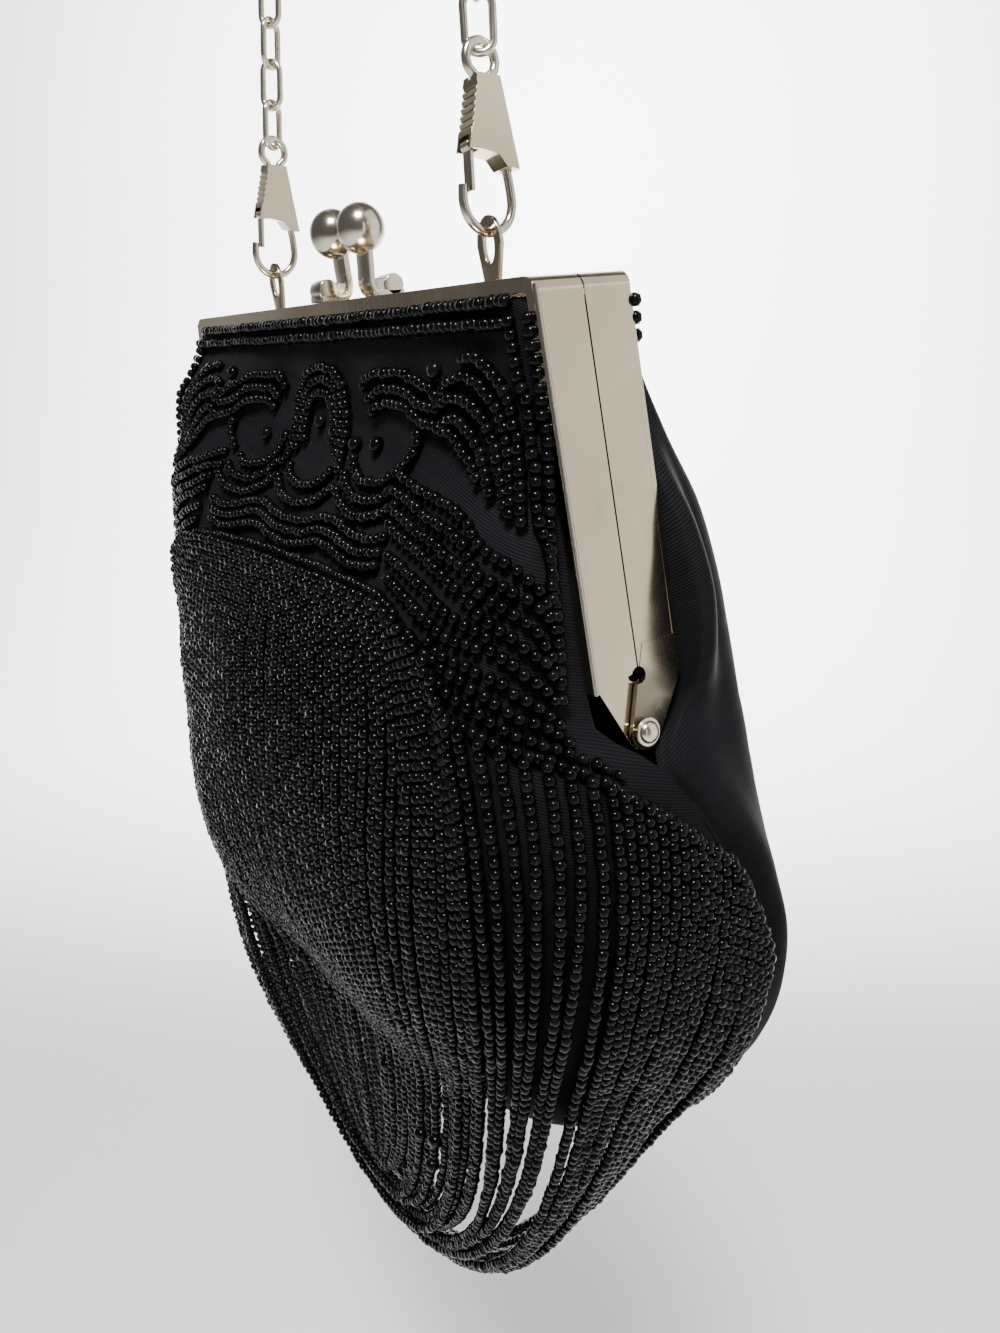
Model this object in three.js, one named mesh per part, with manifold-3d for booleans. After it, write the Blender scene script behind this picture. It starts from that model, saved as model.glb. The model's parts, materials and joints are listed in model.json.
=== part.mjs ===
// A kiss-lock evening purse that hangs by its chain: a nickel frame with two clasp balls, a hollow satin
// pouch, a swagged bead fringe over its front, two snap hooks and a loop of cable chain.
// Millimetres, +Z up, the front faces -Y. The origin is the hang point at the top of the chain loop.
import * as THREE from 'three';
import { mergeVertices } from 'three/addons/utils/BufferGeometryUtils.js';
import Module from 'manifold-3d';

const wasm = await Module();
wasm.setup();

const GAP = 0.3;

// Frame: two halves of a splayed arch, met on a split plane
const FRAME = { halfWidth: 75, depth: 9.4, splay: 0.15, sheet: 0.9, lip: 2.4, corner: 2.5, legEnd: 80 };
const PLATE_FRONT_DROP = 64.2;
const PLATE_SPLIT_DROP = 61.8;
const HINGE = { drop: 72.7, eye: 3.2, hole: 1.5, shank: 1.2, head: 2.2, headHeight: 0.8 };
const RELIEF = { radius: 1.5, drop: 63 };
const SPLAY_ANGLE = Math.atan(FRAME.splay);

// Hinge legs: the front pair lies inside the back pair and is joggled off its plate above the leg.
// near and wide are the leg's y limits at its top, which is hidden behind the plate.
const LEG = { top: 58, frontNear: 0.8, frontWide: 8, backNear: 1.6, plateLap: 0.4 };
const LEG_FOOT = { outer: 0.95, outerDrop: 1, inner: 0.8, innerDrop: 2 };
const JOGGLE = { near: -2, far: -7, top: 53, foot: 57.5, weldFoot: 61 };
const CUTTER = { halfLength: 120, margin: 2, below: 5 };

// Clasp, lugs and the lean of the hanging bag
const CLASP = { ball: 5, height: 13.5, strapWidth: 4, rivet: 1.9, rivetHeight: 1.6, rivetSink: 0.4 };
const STRAP = { thick: 1.2, foot: 7.2, heel: 0.9, bend: -0.7, bendHeight: 3.4, stem: -0.4, top: 10 };
const LUG = { x: 47.1, y: 2.6, sheet: 1.0, eye: 3.6, neck: 2.3, shoulder: 1.5, wireHeight: 8.3 };
const LUG_TAB = { half: 4, top: -2.4, foot: -4.2 };
const LUG_HOLE = { halfWidth: 1.9, halfHeight: 3.2, rim: 1.7 };
const BAG_TILT = THREE.MathUtils.degToRad(5.6);

// Snap hooks: local y across the hook, local z along it from the wire in the lug
const HOOK = { wire: 0.85, loop: 5, top: 30, omega: 2.9, neck: 0.95, neckHeight: 22.4, end: 19, steps: 30 };
const HOOK_NOSE = { y: -4.9, z: 7.2 };
const HOOK_SPINE = [{ y: 4.5, z: 9 }, { y: 3.3, z: 12.8 }, { y: 1.7, z: 18 }];
const SLEEVE = { thick: 4.4, top: 24.4, cheek: 0.6 };
const GROOVE = { count: 7, depth: 0.35, from: 0.06, span: 0.72 };
const SLEEVE_EDGE = { topY: -2.2, footY: -4.5, footZ: 12.6 };
const SLEEVE_TONGUE = [
  { y: -1.6, z: 12.6 }, { y: 1.4, z: 12.2 }, { y: 3, z: 10.4 }, { y: 5.6, z: 10.2 },
  { y: 2.4, z: SLEEVE.top },
];
const POCKET = { from: -6, to: -2.1, foot: 10, top: 14.9 };
const GATE = { y: -3.5, height: 13.4, knuckle: 0.9, sheet: 0.7, width: 2.4, tip: 6.2 };

// Chain: oval cable links on two strands that lean inward and an arch over the hang point
const LINK = { length: 11, width: 6.4, wire: 0.725, sides: 10, wireSides: 5 };
const CHAIN = { links: 29, pitch: 8.3, leanDegrees: 5.5, rollDegrees: -28 };
const CHAIN_LEAN = THREE.MathUtils.degToRad(CHAIN.leanDegrees);

// Pouch: one row for each level, drop below the frame top. half is the half width at the seam, seamF and
// seamB the seam's y on the front and back panels, front and back the y at the middle, and roundF and
// roundB the squareness of the section.
const CLOTH = 1.5;
const POUCH = [
  { drop: 2.8, half: 72.4, seamF: -8.8, seamB: 8.8, front: -9.2, back: 9.4, roundF: 4, roundB: 5 },
  { drop: 13, half: 73.9, seamF: -8.8, seamB: 8.8, front: -10.4, back: 14, roundF: 4, roundB: 5 },
  { drop: 27, half: 76, seamF: -8.8, seamB: 8.8, front: -13.5, back: 23, roundF: 4, roundB: 4.8 },
  { drop: 40, half: 78, seamF: -8.8, seamB: 8.8, front: -21, back: 32, roundF: 4, roundB: 4.6 },
  { drop: 52, half: 79.8, seamF: -8.8, seamB: 8.8, front: -27, back: 36, roundF: 4.2, roundB: 4.5 },
  { drop: 63, half: 81.4, seamF: -8.8, seamB: 8.8, front: -31, back: 38.5, roundF: 4.3, roundB: 4.2 },
  { drop: 70, half: 82.4, seamF: -8.4, seamB: 8.4, front: -33, back: 40, roundF: 4.4, roundB: 4 },
  { drop: 78, half: 88, seamF: -0.15, seamB: 0.15, front: -34.6, back: 41, roundF: 4.4, roundB: 3.6 },
  { drop: 90, half: 92.4, seamF: 7.85, seamB: 8.15, front: -36.4, back: 42, roundF: 4.4, roundB: 3.2 },
  { drop: 105, half: 95, seamF: 16.35, seamB: 16.65, front: -37, back: 43, roundF: 4.2, roundB: 2.9 },
  { drop: 120, half: 93.8, seamF: 20.85, seamB: 21.15, front: -36.6, back: 43, roundF: 4, roundB: 2.8 },
  { drop: 135, half: 90.2, seamF: 21.85, seamB: 22.15, front: -34, back: 42.6, roundF: 3.8, roundB: 2.7 },
  { drop: 150, half: 83.6, seamF: 20.85, seamB: 21.15, front: -29, back: 41.4, roundF: 3.5, roundB: 2.7 },
  { drop: 165, half: 73.7, seamF: 17.85, seamB: 18.15, front: -21.5, back: 38.6, roundF: 3.1, roundB: 2.6 },
  { drop: 178, half: 60.7, seamF: 14.85, seamB: 15.15, front: -12.8, back: 33.4, roundF: 2.8, roundB: 2.5 },
  { drop: 188, half: 46.2, seamF: 12.15, seamB: 12.45, front: -4.4, back: 27, roundF: 2.6, roundB: 2.4 },
  { drop: 195, half: 30.4, seamF: 10.35, seamB: 10.65, front: 2.4, back: 19.6, roundF: 2.4, roundB: 2.4 },
  { drop: 199.4, half: 12, seamF: 9.35, seamB: 9.65, front: 8.2, back: 11.4, roundF: 2.4, roundB: 2.4 },
];
const POUCH_COLUMNS = 14;

// Fringe: the header runs across the front and down the side seams, and the swags hang from it in nested
// loops. turn is the angle round the section, 0 at the middle of the front and 90 at the seam.
const FRINGE = { swags: 8, steps: 22, halfWidth: 1.7, halfThick: 1.5, lift: 3.6, header: 2, headerSteps: 40 };
const SWAG_START = { first: 0.06, last: 0.99 };
// Each loop by its share of the header: its lowest drop, the upright plane that it falls to, and the exponents
// of its round bottom and of its upright top.
const SWAGS = [
  { share: 0, low: 205, plane: -6, bottom: 2.25, top: 2.95 },
  { share: 0.3, low: 217, plane: -4.5, bottom: 2.5, top: 2.6 },
  { share: 0.6, low: 225, plane: -2, bottom: 2.2, top: 2 },
  { share: 1, low: 250, plane: 14, bottom: 1.4, top: 1 },
];
const HEADER = [
  { turn: 0, drop: 49 },
  { turn: 18, drop: 50.5 },
  { turn: 32, drop: 56 },
  { turn: 42, drop: 63.5 },
  { turn: 50, drop: 67.2 },
  { turn: 66, drop: 69.6 },
  { turn: 79, drop: 73 },
  { turn: 86, drop: 79.5 },
  { turn: 90, drop: 98 },
  { turn: 90, drop: 123 },
];

const nickel = new THREE.MeshStandardMaterial({ color: 0xc9c3b8, roughness: 0.22, metalness: 1 });
const satin = new THREE.MeshStandardMaterial({ color: 0x0d0d12, roughness: 0.45, metalness: 0 });
const beads = new THREE.MeshStandardMaterial({ color: 0x060607, roughness: 0.12, metalness: 0 });

// Booleans

function solid(geometry) {
  const bare = geometry.clone();
  bare.deleteAttribute('normal');
  bare.deleteAttribute('uv');
  const merged = mergeVertices(bare, 1e-4);
  return new wasm.Manifold(new wasm.Mesh({
    numProp: 3,
    vertProperties: new Float32Array(merged.attributes.position.array),
    triVerts: new Uint32Array(merged.index.array),
  }));
}

function geometryOf(manifold) {
  const mesh = manifold.getMesh();
  const geometry = new THREE.BufferGeometry();
  geometry.setAttribute('position', new THREE.BufferAttribute(new Float32Array(mesh.vertProperties), 3));
  geometry.setIndex(new THREE.BufferAttribute(new Uint32Array(mesh.triVerts), 1));
  return geometry;
}

const joined = (geometries) => geometries.map(solid).reduce((all, next) => all.add(next));
const cut = (body, tools) => tools.map(solid).reduce((left, tool) => left.subtract(tool), body);

// Extrusions along an axis of the bag

function alongX(shape, from, to) {
  // the shape's x is the bag's y, its y the bag's z
  const settings = { depth: to - from, bevelEnabled: false };
  const geometry = new THREE.ExtrudeGeometry(shape, settings);
  geometry.applyMatrix4(new THREE.Matrix4().set(0, 0, 1, from, 1, 0, 0, 0, 0, 1, 0, 0, 0, 0, 0, 1));
  return geometry;
}

function alongY(shape, from, to) {
  // the shape's x is the bag's x, its y the bag's z
  const settings = { depth: to - from, bevelEnabled: false, curveSegments: 5 };
  const geometry = new THREE.ExtrudeGeometry(shape, settings);
  geometry.applyMatrix4(new THREE.Matrix4().set(1, 0, 0, 0, 0, 0, -1, to, 0, 1, 0, 0, 0, 0, 0, 1));
  return geometry;
}

function polygon(points) {
  return new THREE.Shape(points.map(([x, y]) => new THREE.Vector2(x, y)));
}

function rectangle(left, right, low, high) {
  return polygon([[left, low], [right, low], [right, high], [left, high]]);
}

function disc(x, y, radius, segments) {
  const turn = (i) => (2 * Math.PI * i) / segments;
  return polygon(Array.from({ length: segments }, (_, i) => [
    x + radius * Math.cos(turn(i)), y + radius * Math.sin(turn(i))]));
}

// Frame

const plateX = (drop, inset = 0) => FRAME.halfWidth + FRAME.splay * drop - inset / Math.cos(SPLAY_ANGLE);

function archPoints(inset, endDrop) {
  // right foot, rounded corners, left foot
  const [smallest, steps] = [0.4, 4];
  const radius = Math.max(FRAME.corner - inset, smallest);
  const cornerX = plateX(inset, inset) - radius * (1 - Math.tan(SPLAY_ANGLE / 2));
  const side = [[plateX(endDrop, inset), -endDrop]];
  for (let i = 0; i <= steps; i += 1) {
    const turn = -SPLAY_ANGLE + ((Math.PI / 2 + SPLAY_ANGLE) * i) / steps;
    side.push([cornerX + radius * Math.cos(turn), -inset - radius + radius * Math.sin(turn)]);
  }
  return [...side, ...side.slice().reverse().map(([x, z]) => [-x, z])];
}

function archBand(outerInset, innerInset, endDrop) {
  return polygon([...archPoints(outerInset, endDrop), ...archPoints(innerInset, endDrop).reverse()]);
}

function sidePlate(shape, sign, inset, thick) {
  // a flat outline in y and z laid on the splayed side, inset from its outer face
  const geometry = alongX(shape, -inset - thick, -inset);
  geometry.rotateY(-SPLAY_ANGLE);
  geometry.translate(FRAME.halfWidth, 0, 0);
  return sign > 0 ? geometry : mirroredX(geometry);
}

function mirroredX(geometry) {
  const mirror = geometry.clone().applyMatrix4(new THREE.Matrix4().makeScale(-1, 1, 1));
  const flipped = mirror.index ? mirror.toNonIndexed() : mirror;
  const position = flipped.attributes.position;
  for (let i = 0; i < position.count; i += 3) {
    const a = new THREE.Vector3().fromBufferAttribute(position, i);
    const b = new THREE.Vector3().fromBufferAttribute(position, i + 1);
    position.setXYZ(i, b.x, b.y, b.z);
    position.setXYZ(i + 1, a.x, a.y, a.z);
  }
  return flipped;
}

function hingeLeg(facing) {
  // tapers from the plate to the eye; the distances run down the splayed plate
  const down = (drop) => -drop / Math.cos(SPLAY_ANGLE);
  const [near, wide] = facing < 0 ? [LEG.frontNear, LEG.frontWide] : [LEG.backNear, FRAME.depth];
  const eye = disc(0, down(HINGE.drop), HINGE.eye, 12);
  const taper = polygon([
    [facing * near, down(LEG.top)],
    [facing * wide, down(LEG.top)],
    [facing * wide, down(PLATE_FRONT_DROP - LEG.plateLap)],
    [facing * HINGE.eye * LEG_FOOT.outer, down(HINGE.drop + LEG_FOOT.outerDrop)],
    [-facing * HINGE.eye * LEG_FOOT.inner, down(HINGE.drop - LEG_FOOT.innerDrop)],
  ]);
  return { eye, taper, hole: disc(0, down(HINGE.drop), HINGE.hole, 8) };
}

function frameHalf(facing) {
  const [from, to] = facing < 0 ? [-FRAME.depth, -GAP / 2] : [GAP / 2, FRAME.depth];
  const lip = [facing * FRAME.depth, facing * (FRAME.depth - FRAME.sheet)].sort((a, b) => a - b);
  const arch = solid(alongY(archBand(0, FRAME.sheet, FRAME.legEnd), from, to));
  const rim = solid(alongY(archBand(0, FRAME.lip, PLATE_FRONT_DROP), ...lip));
  const [near, far] = [-facing * CUTTER.margin, facing * (FRAME.depth + CUTTER.margin)];
  const floor = -FRAME.legEnd - CUTTER.below;
  const below = polygon([
    [near, -PLATE_SPLIT_DROP], [far, -PLATE_FRONT_DROP - LEG.plateLap], [far, floor], [near, floor]]);
  let half = cut(arch.add(rim), [alongX(below, -CUTTER.halfLength, CUTTER.halfLength)]);
  const leg = hingeLeg(facing);
  const inset = facing < 0 ? FRAME.sheet + GAP : 0;
  for (const sign of [1, -1]) {
    half = half.add(solid(sidePlate(leg.taper, sign, inset, FRAME.sheet)));
    half = half.add(solid(sidePlate(leg.eye, sign, inset, FRAME.sheet)));
    if (facing < 0) {
      const joggle = rectangle(JOGGLE.far, JOGGLE.near, -JOGGLE.foot, -JOGGLE.top);
      const weld = rectangle(JOGGLE.far, JOGGLE.near, -JOGGLE.weldFoot, -JOGGLE.top);
      half = half.add(solid(sidePlate(joggle, sign, FRAME.sheet / 2, 2 * FRAME.sheet)));
      half = half.add(solid(sidePlate(weld, sign, inset, FRAME.sheet)));
    }
    half = cut(half, [sidePlate(leg.hole, sign, -CUTTER.margin, 4 * CUTTER.margin)]);
  }
  const relief = disc(0, -RELIEF.drop, RELIEF.radius, 10);
  half = cut(half, [alongX(relief, -CUTTER.halfLength, CUTTER.halfLength)]);
  return geometryOf(facing < 0 ? half : cut(half, [lugSlot(-1), lugSlot(1)]));
}

function lugSlot(sign) {
  const slot = new THREE.BoxGeometry(2 * (LUG.neck + GAP), LUG.sheet + 2 * GAP, 2 * CUTTER.margin);
  return slot.translate(sign * LUG.x, LUG.y, 0);
}

function hingeRivet(sign) {
  // heights along the shank, 0 on the outer face of the back leg
  const inner = -2 * (FRAME.sheet + GAP);
  const foot = inner - HINGE.headHeight;
  const crown = GAP + HINGE.headHeight;
  const profile = [
    [0, foot], [HINGE.head, foot], [HINGE.head, inner], [HINGE.shank, inner],
    [HINGE.shank, GAP], [HINGE.head, GAP], [HINGE.head * 0.8, crown - GAP], [0, crown],
  ].map(([radius, height]) => new THREE.Vector2(radius, height));
  const rivet = new THREE.LatheGeometry(profile, 10);
  rivet.rotateZ(-Math.PI / 2);
  rivet.translate(0, 0, -HINGE.drop / Math.cos(SPLAY_ANGLE));
  rivet.rotateY(-SPLAY_ANGLE);
  rivet.translate(FRAME.halfWidth, 0, 0);
  const closed = sign > 0 ? rivet : mirroredX(rivet);
  return geometryOf(solid(closed));
}

// Clasp

function claspHalf(facing) {
  const x = facing * (CLASP.ball + GAP / 2);
  const { thick, foot, heel, bend, bendHeight, stem, top } = STRAP;
  const [low, high] = [GAP, GAP + thick];
  const under = [[foot, low], [heel, low], [bend, bendHeight], [stem, top]];
  const inside = [bend + thick, bendHeight + GAP];
  const over = [[stem + thick, top], inside, [heel + thick / 2, high], [foot, high]];
  const strap = polygon([...under, ...over].map(([y, z]) => [facing * y, z]));
  const band = alongX(strap, x - CLASP.strapWidth / 2, x + CLASP.strapWidth / 2);
  const ball = new THREE.SphereGeometry(CLASP.ball, 12, 8).rotateX(Math.PI / 2);
  ball.translate(x, 0, CLASP.height);
  const rivet = new THREE.CylinderGeometry(CLASP.rivet, CLASP.rivet, CLASP.rivetHeight, 12);
  rivet.rotateX(Math.PI / 2);
  rivet.translate(x, facing * (foot - CLASP.rivet), high + CLASP.rivetSink);
  return geometryOf(joined([band, ball, rivet]));
}

// Lugs

function lug(sign) {
  const eyeHeight = LUG.wireHeight + HOOK.wire + GAP - LUG_HOLE.halfHeight;
  const outline = new THREE.Shape();
  outline.moveTo(-LUG.neck, LUG_TAB.top);
  outline.lineTo(-LUG_TAB.half, LUG_TAB.top);
  outline.lineTo(-LUG_TAB.half, LUG_TAB.foot);
  outline.lineTo(LUG_TAB.half, LUG_TAB.foot);
  outline.lineTo(LUG_TAB.half, LUG_TAB.top);
  outline.lineTo(LUG.neck, LUG_TAB.top);
  outline.lineTo(LUG.neck, LUG.shoulder);
  outline.lineTo(LUG.eye, eyeHeight);
  outline.absellipse(0, eyeHeight, LUG.eye, LUG_HOLE.halfHeight + LUG_HOLE.rim, 0, Math.PI, false, 0);
  outline.lineTo(-LUG.neck, LUG.shoulder);
  const hole = new THREE.Path();
  hole.absellipse(0, eyeHeight, LUG_HOLE.halfWidth, LUG_HOLE.halfHeight, 0, 2 * Math.PI, true, 0);
  outline.holes.push(hole);
  const plate = alongY(outline, LUG.y - LUG.sheet / 2, LUG.y + LUG.sheet / 2);
  return plate.translate(sign * LUG.x, 0, 0);
}

// Snap hooks

function wireArc(centreZ, radius, fromDegrees, toDegrees, steps) {
  return Array.from({ length: steps + 1 }, (_, i) => {
    const turn = THREE.MathUtils.degToRad(THREE.MathUtils.lerp(fromDegrees, toDegrees, i / steps));
    return { y: radius * Math.cos(turn), z: centreZ + radius * Math.sin(turn) };
  });
}

function hookWire(radius) {
  // from the nose round the loop in the lug, up the spine, round the top eye and down into the sleeve
  const route = [
    HOOK_NOSE,
    ...wireArc(HOOK.loop, HOOK.loop, 180, 360, 6),
    ...HOOK_SPINE,
    { y: HOOK.neck, z: HOOK.neckHeight },
    ...wireArc(HOOK.top - HOOK.omega, HOOK.omega, -60, 240, 7),
    { y: -HOOK.neck, z: HOOK.neckHeight },
    { y: -HOOK.neck, z: HOOK.end },
  ].map(({ y, z }) => new THREE.Vector3(0, y, z));
  const extrudePath = new THREE.CatmullRomCurve3(route);
  const settings = { steps: HOOK.steps, extrudePath, bevelEnabled: false };
  return new THREE.ExtrudeGeometry(disc(0, 0, radius, 5), settings);
}

function hookSleeve() {
  const { topY, footY, footZ } = SLEEVE_EDGE;
  const { lerp } = THREE.MathUtils;
  const rows = 2 * GROOVE.count;
  const edge = [[topY, SLEEVE.top]];
  for (let i = 1; i < rows; i += 1) {
    const along = GROOVE.from + (GROOVE.span * i) / rows;
    const deep = i % 2 ? 0 : GROOVE.depth;
    edge.push([lerp(topY, footY, along) + deep, lerp(SLEEVE.top, footZ, along)]);
  }
  edge.push([footY, footZ]);
  const outline = polygon([...edge, ...SLEEVE_TONGUE.map(({ y, z }) => [y, z])]);
  const block = solid(alongX(outline, -SLEEVE.thick / 2, SLEEVE.thick / 2));
  const pocketHalf = SLEEVE.thick / 2 - SLEEVE.cheek;
  const pocket = alongX(rectangle(POCKET.from, POCKET.to, POCKET.foot, POCKET.top), -pocketHalf, pocketHalf);
  return geometryOf(cut(block, [pocket, hookWire(HOOK.wire + GAP)]));
}

function hookGate() {
  const half = GATE.width / 2;
  const knuckle = alongX(disc(GATE.y, GATE.height, GATE.knuckle, 12), -half, half);
  const leaf = rectangle(GATE.y - GATE.sheet / 2, GATE.y + GATE.sheet / 2, GATE.tip, GATE.height);
  return geometryOf(joined([knuckle, alongX(leaf, -half, half)]));
}

// Chain

const linkReach = LINK.length / 2 - LINK.wire;
const strandToChain = HOOK.top - HOOK.wire - LINK.wire - GAP + linkReach;
const strandTotal = (CHAIN.links - 1) * CHAIN.pitch + 2 * strandToChain;
const archTurn = Math.PI - 2 * CHAIN_LEAN;
const archRadius = ((2 * LUG.x) / Math.sin(CHAIN_LEAN) - strandTotal) / (2 / Math.tan(CHAIN_LEAN) - archTurn);
const strandLength = (LUG.x - archRadius * Math.cos(CHAIN_LEAN)) / Math.sin(CHAIN_LEAN);
const lugWireZ = archRadius * (Math.sin(CHAIN_LEAN) - 1) - strandLength * Math.cos(CHAIN_LEAN);

function chainFrame(distance) {
  // place and direction on the strand, arch and strand, measured from the right lug
  const lean = CHAIN_LEAN;
  if (distance > strandTotal / 2) {
    const { place, along } = chainFrame(strandTotal - distance);
    return { place: place.setX(-place.x), along: along.setZ(-along.z) };
  }
  if (distance < strandLength) {
    const along = new THREE.Vector3(-Math.sin(lean), 0, Math.cos(lean));
    return { place: new THREE.Vector3(LUG.x, 0, lugWireZ).addScaledVector(along, distance), along };
  }
  const turn = lean + (distance - strandLength) / archRadius;
  return {
    place: new THREE.Vector3(Math.cos(turn), 0, Math.sin(turn) - 1).multiplyScalar(archRadius),
    along: new THREE.Vector3(-Math.sin(turn), 0, Math.cos(turn)),
  };
}

function linkGeometry() {
  // a closed ring of wire sections round an oval, long axis on z
  const straight = (LINK.length - LINK.width) / 2;
  const radius = LINK.width / 2 - LINK.wire;
  const points = [];
  for (let i = 0; i < LINK.sides; i += 1) {
    const turn = (2 * Math.PI * (i + 0.5)) / LINK.sides;
    const shift = Math.sign(Math.sin(turn)) * straight;
    const out = new THREE.Vector3(Math.cos(turn), 0, Math.sin(turn));
    const middle = out.clone().multiplyScalar(radius).add(new THREE.Vector3(0, 0, shift));
    for (let j = 0; j < LINK.wireSides; j += 1) {
      const roll = (2 * Math.PI * (j + 0.5)) / LINK.wireSides;
      const side = out.clone().multiplyScalar(Math.cos(roll) * LINK.wire);
      side.y += Math.sin(roll) * LINK.wire;
      points.push(...middle.clone().add(side).toArray());
    }
  }
  const index = [];
  const at = (i, j) => (i % LINK.sides) * LINK.wireSides + (j % LINK.wireSides);
  for (let i = 0; i < LINK.sides; i += 1) {
    for (let j = 0; j < LINK.wireSides; j += 1) {
      index.push(at(i, j), at(i, j + 1), at(i + 1, j), at(i + 1, j), at(i, j + 1), at(i + 1, j + 1));
    }
  }
  return indexed(points, index);
}

function indexed(points, index) {
  const geometry = new THREE.BufferGeometry();
  geometry.setAttribute('position', new THREE.BufferAttribute(new Float32Array(points), 3));
  geometry.setIndex(index);
  return geometry;
}

function chain() {
  const links = [];
  for (let i = 0; i < CHAIN.links; i += 1) {
    const { place, along } = chainFrame(strandToChain + i * CHAIN.pitch);
    const across = new THREE.Vector3(0, 1, 0);
    const outward = new THREE.Vector3().crossVectors(across, along);
    const turned = new THREE.Matrix4().makeBasis(outward, across, along);
    const roll = THREE.MathUtils.degToRad(CHAIN.rollDegrees + 90 * (i % 2));
    turned.multiply(new THREE.Matrix4().makeRotationZ(roll));
    turned.setPosition(place);
    links.push(linkGeometry().applyMatrix4(turned));
  }
  return geometryOf(joined(links));
}

// Pouch

function level(drop) {
  const last = POUCH.length - 1;
  const next = Math.min(Math.max(POUCH.findIndex((row) => row.drop >= drop), 1), last);
  const [above, under] = [POUCH[next - 1], POUCH[next]];
  const part = THREE.MathUtils.clamp((drop - above.drop) / (under.drop - above.drop), 0, 1);
  const row = {};
  for (const key of Object.keys(above)) {
    row[key] = THREE.MathUtils.lerp(above[key], under[key], part);
  }
  return row;
}

const bulge = (part, round) => (1 - Math.abs(part) ** round) ** (1 / round);

function panelPoint(row, part, facing) {
  const [seam, middle, round] = facing < 0
    ? [row.seamF, row.front, row.roundF] : [row.seamB, row.back, row.roundB];
  return new THREE.Vector3(row.half * part, seam + (middle - seam) * bulge(part, round), -row.drop);
}

function panel(facing) {
  const columns = POUCH_COLUMNS + 1;
  const part = (j) => Math.sin((Math.PI / 2) * ((2 * j) / POUCH_COLUMNS - 1));
  const across = Array.from({ length: columns }, (_, j) => part(j));
  const outer = POUCH.map((row) => across.map((place) => panelPoint(row, place, facing)));
  const pick = (i, j) => outer[THREE.MathUtils.clamp(i, 0, POUCH.length - 1)][
    THREE.MathUtils.clamp(j, 0, columns - 1)];
  const points = [];
  outer.flat().forEach((point) => points.push(...point.toArray()));
  for (let i = 0; i < POUCH.length; i += 1) {
    for (let j = 0; j < columns; j += 1) {
      const sideways = pick(i, j + 1).clone().sub(pick(i, j - 1));
      const down = pick(i + 1, j).clone().sub(pick(i - 1, j));
      const inward = new THREE.Vector3().crossVectors(sideways, down).multiplyScalar(-facing);
      const onSeam = j === 0 || j === columns - 1 || i === POUCH.length - 1;
      if (onSeam) {
        inward.setY(0);
      }
      points.push(...pick(i, j).clone().addScaledVector(inward.normalize(), CLOTH).toArray());
    }
  }
  return indexed(points, shellIndex(POUCH.length, columns, facing));
}

function shellIndex(rows, columns, facing) {
  const index = [];
  const under = rows * columns;
  const quad = (a, b, c, d) => (facing < 0 ? index.push(a, b, c, a, c, d) : index.push(a, c, b, a, d, c));
  const at = (i, j) => i * columns + j;
  for (let i = 0; i + 1 < rows; i += 1) {
    for (let j = 0; j + 1 < columns; j += 1) {
      const [a, b, c, d] = [at(i, j), at(i + 1, j), at(i + 1, j + 1), at(i, j + 1)];
      quad(a, b, c, d);
      quad(under + d, under + c, under + b, under + a);
    }
  }
  const count = (length) => Array.from({ length }, (_, k) => k);
  const rim = [
    ...count(rows).map((i) => at(i, 0)),
    ...count(columns - 1).map((j) => at(rows - 1, j + 1)),
    ...count(rows - 1).reverse().map((i) => at(i, columns - 1)),
    ...count(columns - 2).reverse().map((j) => at(0, j + 1)),
  ];
  rim.forEach((a, k) => {
    const b = rim[(k + 1) % rim.length];
    quad(b, a, under + a, under + b);
  });
  return index;
}

// Fringe

function swollen(drop) {
  // the front panel's section grown by the lift, and by the same amount under its round bottom
  const { lift } = FRINGE;
  const widest = POUCH.reduce((wide, row) => (row.half > wide.half ? row : wide)).drop;
  const under = (drop - widest) / (POUCH[POUCH.length - 1].drop - widest);
  const row = level(drop - lift * THREE.MathUtils.clamp(under, 0, 1));
  return { half: row.half + lift, seam: row.seamF, depth: row.front - lift - row.seamF, round: row.roundF };
}

function onFront(turnDegrees, drop) {
  const { half, seam, depth, round } = swollen(drop);
  const turn = THREE.MathUtils.degToRad(turnDegrees);
  const x = half * Math.sign(turn) * Math.abs(Math.sin(turn)) ** (2 / round);
  return new THREE.Vector3(x, seam + depth * Math.abs(Math.cos(turn)) ** (2 / round), -drop);
}

function clearOfPouch(point) {
  const { half, seam, depth, round } = swollen(-point.z);
  const [across, forward] = [Math.abs(point.x) / half, Math.max((point.y - seam) / depth, 0)];
  const reach = (across ** round + forward ** round) ** (1 / round);
  const below = -point.z > POUCH[POUCH.length - 1].drop + FRINGE.lift;
  return reach >= 1 || below ? point : point.set(point.x / reach, seam + (point.y - seam) / reach, point.z);
}

function headerCurve() {
  const stations = new THREE.SplineCurve(HEADER.map(({ turn, drop }) => new THREE.Vector2(turn, drop)));
  const right = stations.getPoints(4 * HEADER.length).map(({ x, y }) => onFront(x, y));
  const left = right.slice(1).reverse().map((point) => point.clone().setX(-point.x));
  return new THREE.CatmullRomCurve3([...left, ...right], false, 'centripetal');
}

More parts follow.
